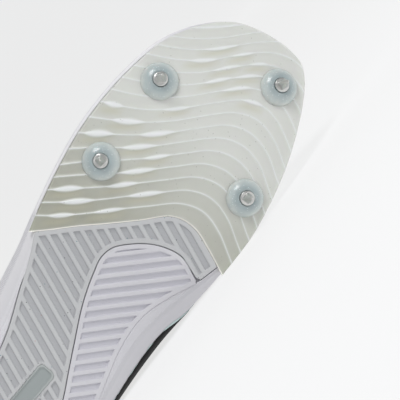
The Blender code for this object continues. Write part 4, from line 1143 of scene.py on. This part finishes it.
# %% Upper and its rolled collar
lining = shell - NORMALS * UPPER_WALL
low_out = foot[:, None] + (shell[:, :1] - foot[:, None]) * np.linspace(0, 1, 5)[:-1][:, None]
inward = lining[:, 0] - shell[:, 0]
low_in = low_out + inward[:, None]
spin = np.linspace(0, math.pi, 9)[1:-1][:, None]
tangent = unit(shell[:, -1] - shell[:, -2])
core = 0.5 * (shell[:, -1] + lining[:, -1])
roll = (core[:, None] + 0.5 * UPPER_WALL * (np.cos(spin) * NORMALS[:, -1][:, None]
                                            + np.sin(spin) * tangent[:, None]))
wall_rings = np.concatenate([low_out, shell, roll, lining[:, ::-1], low_in[:, ::-1]], axis=1)
lined = np.zeros(wall_rings.shape[1])
lined[4 + ROWS + 3:] = 1.0
round_mm = (LENGTH * 1000 * 2.35 * np.arange(STATIONS) / STATIONS)[:, None]
steps = np.linalg.norm(np.diff(wall_rings, axis=1), axis=2).mean(axis=0)
up_mm = 1000 * np.concatenate([[0], np.cumsum(steps)])
skin("mesh_upper", wall_rings, mesh_fabric, ["upper"], wrap=True,
     fields={"round_mm": round_mm, "up_mm": up_mm, "lining": lined}, crease=60)

# %% [markdown]
# ## Bonded films
# Toe cap, heel counter, eyestay and side bands are thin polyurethane films, cut with a die and
# pressed on hot. Each is a patch of the upper's own surface lifted off it, with a soft edge.
# Their borders are curves over the upper's two coordinates, so no film leaves the surface.

# %% Film materials


def film_named(name, low, high, shine, **sockets):
    """A pressed film: two close colours in a fine leathery grain, satin."""
    material = finish_named(name, IOR=1.48, Coat_Weight=0.08, Coat_Roughness=0.3, **sockets)
    place = read(material, "shoe")
    # the press leaves a grain of about 0.4 mm, drawn at 0.8 mm
    grit = node(material, "TexVoronoi", {"Vector": place, "Scale": 1.25}).outputs["Distance"]
    plug(material, "Base Color", mixed(material, noise(material, place, 0.12, 3.0), low, high))
    bumped(material, 0.18, 0.0002, grit)
    plug(material, "Roughness", ranged(material, grit, to_min=shine, to_max=shine + 0.12))
    return material


pale_film = film_named("pressed_pale_polyurethane_film", "#C7CECC", "#D5DBD8", 0.40)
black_film = film_named("pressed_black_polyurethane_film", "#0B0B0C", "#121213", 0.55,
                        Specular_IOR_Level=0.15)
cement = film_named("dried_cement", "#B5CCCB", "#C9DBD9", 0.45)


def film(name, first, last, bottom, top, material, node_name, steps=(90, 30)):
    """A patch from station first to last; bottom and top give the share at each end share."""
    a = np.linspace(0, 1, steps[0])
    b = np.linspace(0, 1, steps[1])
    low, high = bottom(a)[:, None], top(a)[:, None]
    station = (first + (last - first) * a)[:, None]
    share = low + (high - low) * b
    rim = np.minimum(np.minimum(a, 1 - a)[:, None] * steps[0] / 4,
                     np.minimum(b, 1 - b) * steps[1] / 3)
    lift = GAP + 0.0009 * np.sqrt(np.clip(rim, 0.02, 1))
    face = on_upper(station, share, lift)
    back = on_upper(station, share[:, ::-1], 0.0001)[:, ::4]
    return skin(name, np.concatenate([face, back], axis=1), material, [node_name])


film("toe_cap_film", 20, 32, lambda a: 0.10 + 0 * a, lambda a: 0.62 - 0.34 * (2 * a - 1) ** 4,
     pale_film, "toe_cap")
film("heel_counter_film", -6, 6, lambda a: 0.10 + 0 * a, lambda a: 0.66 - 0.30 * (2 * a - 1) ** 4,
     pale_film, "heel_counter")
film("eyestay_film", 12, 40, lambda a: 0.83 + 0.05 * (2 * a - 1) ** 6, lambda a: 0.985 + 0 * a,
     pale_film, "eyestay", (160, 20))
film("black_band_lateral", 9, 16, lambda a: 0.01 + 0 * a, lambda a: 0.30 - 0.06 * a,
     black_film, "side_band_lateral")

# %% [markdown]
# ## Black film at the arch
# At the medial arch the black film comes over the lip and a little way down the flared wall,
# and a fringe of dried cement shows along its ragged edge. Both start on the rings of the
# midsole's own wall, so they follow its flare.

# %% Black film over the edge of the medial arch
BAND = np.arange(360, 427)
arch_wall = np.stack(profile)[wall_start:wall_start + WALL_ROWS][:, BAND]
# the film starts to leave the lip at station 38.2 of 52 and is full 1.6 stations further on
COVER_START, COVER_RUN, COVER_DEPTH = 38.2, 1.6, 0.52
FIRST_SHARE = 0.02
teeth = (np.sin(BAND * 1.9) + 0.8 * np.sin(BAND * 3.1 + 1) + 0.6 * np.sin(BAND * 5.3 + 2)) / 2.4


def on_wall(level, lift):
    """Points on the flared wall: level 0 at its foot to 1 at the lip, lifted outwards."""
    row = np.clip(level, 0, 1) * (WALL_ROWS - 1)
    low = np.minimum(row.astype(int), WALL_ROWS - 2)
    part = (row - low)[..., None]
    column = np.arange(len(BAND))
    spot = arch_wall[low, column] * (1 - part) + arch_wall[low + 1, column] * part
    out = np.concatenate([OUTWARD[BAND], np.full((len(BAND), 1), -0.6)], axis=1) / 1.17
    return spot + out * np.asarray(lift)[..., None]


def wall_film(name, top, lift, ragged, edge_line, ahead, material, nodes=()):
    """A film that starts on the wall at a ragged level, some way ahead; above the lip it follows
    the upper, where a top is given."""
    cover = ease((BAND / 10 - COVER_START) / COVER_RUN + ahead)
    start = 1 - COVER_DEPTH * cover + ragged * edge_line * cover
    climb = np.linspace(0, 1, 14)[:, None]
    face = on_wall(start + (1 - start) * climb, lift * np.sqrt(np.clip(climb * 6, 0.2, 1)))
    back = on_wall(start + (1 - start) * climb, 0.0001 + 0 * climb)
    if top is not None:
        high = top((BAND - BAND[0]) / (len(BAND) - 1))
        share = FIRST_SHARE + (high - FIRST_SHARE) * np.linspace(0, 1, 30)[:, None]
        rim = np.clip(np.linspace(9, 0, 30), 0.02, 1)[:, None]
        face = np.concatenate([face, on_upper(BAND / 10, share, GAP + 0.0007 * np.sqrt(rim))])
        back = np.concatenate([back, on_upper(BAND / 10, share, 0.0001 + 0 * share)])
    rings = np.concatenate([face, back[::-1]]).transpose(1, 0, 2)
    return skin(name, rings, material, nodes)


wall_film("black_band_medial", lambda a: 0.50 - 0.16 * a, 0.0005, 0.012, teeth, 0.0, black_film,
          ["side_band_medial"])
wall_film("cement_edge", None, 0.00025, 0.030, np.roll(teeth, 9) + 0.8 * np.sin(BAND * 0.7), 0.13,
          cement)

# %% [markdown]
# ## Eyelets and lace
# The lace is flat and woven. It runs through punched eyelets in crossings and ends at the top
# pair. A ribbon is a rounded cross-section carried along a path, with its width kept flat
# against the shoe, and the crossing that lies on top bows a little higher.

# %% Woven lace material
lace_weave = finish_named("flat_woven_polyester_lace", Roughness=0.8, Sheen_Weight=0.2)
run_mm = read(lace_weave, "run_mm")
wide_mm = read(lace_weave, "wide_mm")
strand = node(lace_weave, "CombineXYZ", {0: run_mm, 1: wide_mm})
# threads lie 0.5 mm apart; they are drawn at 0.9 mm
warp = node(lace_weave, "TexWave", {"Vector": strand.outputs[0], "Scale": 0.35},
            bands_direction="X")
weft = node(lace_weave, "TexWave", {"Vector": strand.outputs[0], "Scale": 0.45},
            bands_direction="Y")
knit = maths(lace_weave, "MULTIPLY", warp.outputs["Fac"], weft.outputs["Fac"])
tone = mixed(lace_weave, knit, "#C6C6C2", "#E6E6E2")
plug(lace_weave, "Base Color", tone)
bumped(lace_weave, 0.5, 0.0003, knit)

# %% Lace runs
EYELET_STATIONS = (13, 14, 15, 16, 18)
EYELET_SHARE = 0.93
LACE_HALF = np.array((0.0021, 0.00055))


def lace_run(name, a, b, bow, nodes=()):
    """Seven key points from eyelet to eyelet, a smooth curve through them, and a flat rounded
    section carried along it: cosine across, flattened sine up."""
    ends = np.array((a, b))
    dip = on_upper(ends, EYELET_SHARE, 0.0006)
    rise = on_upper(ends, EYELET_SHARE + 0.02, 0.0025)
    brim = on_upper(ends, 1.0, 0.0026)
    middle = 0.5 * (brim[0] + brim[1]) + (0, 0, bow)
    keys = np.stack([dip[0], rise[0], brim[0], middle, brim[1], rise[1], dip[1]])
    reach = reach_along(keys)
    path = smooth(reach, keys, np.linspace(0, reach[-1], 70))
    way = unit(np.gradient(path, axis=0))
    up = on_upper(ends, 0.97, 1.0) - on_upper(ends, 0.97, 0.0)
    lean = smooth(np.array((0, 0.5, 1.0)), np.stack([up[0], (0, 0, 1.0), up[1]]),
                  np.linspace(0, 1, 70))
    side = unit(np.cross(way, lean))
    up = np.cross(side, way)
    spin = circle(28)
    wide = np.sign(np.cos(spin)) * np.abs(np.cos(spin)) ** 0.7 * LACE_HALF[0]
    thick = np.sign(np.sin(spin)) * np.abs(np.sin(spin)) ** 0.6 * LACE_HALF[1]
    rings = (path[:, None] + side[:, None] * wide[:, None] + up[:, None] * thick[:, None])
    return skin(name, rings, lace_weave, nodes,
                fields={"run_mm": (np.linspace(0, reach[-1], 70) * 1000)[:, None],
                        "wide_mm": wide * 1000 + 10})


number = 0
for low, high in zip(EYELET_STATIONS, EYELET_STATIONS[1:]):
    number += 1
    lace_run(f"lace_crossing_{number}", low, LOOP - high, 0.0012, ["laces"])
    number += 1
    lace_run(f"lace_crossing_{number}", high, LOOP - low, 0.0027)
lace_run("lace_bar_top", EYELET_STATIONS[-1], LOOP - EYELET_STATIONS[-1], 0.0020)

# %% Eyelet rings
spin, small = circle(32), circle(12)
opposite = [LOOP - station for station in EYELET_STATIONS]
for side_name, stations in (("lateral", EYELET_STATIONS), ("medial", opposite)):
    for number, station in enumerate(stations, 1):
        middle = on_upper(station, EYELET_SHARE, 0.0012)
        out = on_upper(station, EYELET_SHARE, 1.0) - on_upper(station, EYELET_SHARE, 0.0)
        one = np.cross(out, (1.0, 0.0, 0.0))
        one /= np.linalg.norm(one)
        two = np.cross(out, one)
        round_of = np.cos(spin)[:, None] * one + np.sin(spin)[:, None] * two
        rings = (middle + round_of[:, None] * (0.0026 + 0.00055 * np.cos(small))[:, None]
                 + out * (0.0004 * np.sin(small))[:, None])
        skin(f"eyelet_{side_name}_{number}", rings, pale_film, wrap=True)

# %% [markdown]
# ## Tongue and insole
# The tongue is a light padded flap, thicker in its middle and bound at its edges, and the
# insole is a die-cut foam sheet with a brushed top. Both are crowned surfaces closed by a back,
# and the tongue has two sewn channels that pull its face in.

# %% Lining fabric
brushed_lining = finish_named("brushed_knit_lining", Roughness=0.9, Sheen_Weight=0.25)
where = read(brushed_lining, "shoe")
# knit loops are 0.6 mm wide; they are drawn at 1.2 mm
loops = node(brushed_lining, "TexVoronoi", {"Vector": where, "Scale": 0.85, "Randomness": 0.5})
fuzz = noise(brushed_lining, where, 1.5, 4.0)
blend = maths(brushed_lining, "MULTIPLY_ADD", loops.outputs["Distance"], 0.6, fuzz)
tone = mixed(brushed_lining, blend, "#6F7678", "#969C9E")
plug(brushed_lining, "Base Color", tone)
bumped(brushed_lining, 0.4, 0.0004, blend)

# %% Tongue
# along (LENGTH), height (INSTEP_HEIGHT), half width (BALL_WIDTH), drop at the sides
TONGUE = np.array((
    (0.700, 0.648, 0.085, 0.040), (0.665, 0.680, 0.110, 0.050), (0.620, 0.742, 0.150, 0.080),
    (0.560, 0.816, 0.175, 0.100), (0.490, 0.904, 0.190, 0.115), (0.420, 0.975, 0.198, 0.125),
    (0.370, 1.016, 0.195, 0.120), (0.335, 1.075, 0.205, 0.110), (0.315, 1.160, 0.190, 0.100)))
run = np.linspace(0, len(TONGUE) - 1, 110)
x, z, half, fall = smooth(np.arange(len(TONGUE)), TONGUE, run).T
span = np.sin(np.linspace(-1, 1, 53) * math.pi / 2)
corner = np.sqrt(np.clip(1 - np.clip((run - 7.2) / 0.85, 0, 1) ** 2 * 0.75, 0.02, 1))
tongue_top = np.stack([np.broadcast_to((LENGTH * x)[:, None], (110, 53)),
                       BALL_WIDTH * (half * corner)[:, None] * span,
                       INSTEP_HEIGHT * (z[:, None] - fall[:, None] * span ** 2)], axis=-1)
facing = unit(np.cross(np.gradient(tongue_top, axis=1), np.gradient(tongue_top, axis=0)))
facing *= np.sign(facing[..., 2:3])
ends = np.minimum(run / 0.35, (run[-1] - run) / 0.35)
plump = np.sqrt(np.clip(1 - span ** 2, 0.0, 1)) * np.sqrt(np.clip(ends, 0.0, 1))[:, None]
channel = np.exp(-((np.abs(span) - 0.55) / 0.05) ** 2)
thick = 0.0006 + 0.0029 * plump * (1 - 0.55 * channel)
tongue_face = tongue_top - facing * (0.0004 * channel)[None, :, None] * plump[..., None]
tongue_rings = np.concatenate([tongue_face, (tongue_top - facing * thick[..., None])[:, ::-1]],
                              axis=1)
tongue = skin("padded_tongue", tongue_rings, brushed_lining, ["tongue"])

# %% Insole
clear = 0.0062
bed = BED + GAP
top = bed + 0.0035
sole_rings = [*filled(PLAN - OUTWARD * (clear + 0.0004), (0.0, 0.35, 0.7), bed),
              ring(clear + 0.0004, bed), ring(clear, bed + 0.0006), ring(clear, bed + 0.0026),
              ring(clear + 0.0003, bed + 0.0032), ring(clear + 0.0010, top),
              *filled(PLAN - OUTWARD * (clear + 0.0010), np.linspace(0.94, 0.0, 9), top)]
insole = skin("die_cut_insole", np.stack(sole_rings), brushed_lining, ["insole"],
              caps=False, weld=True)
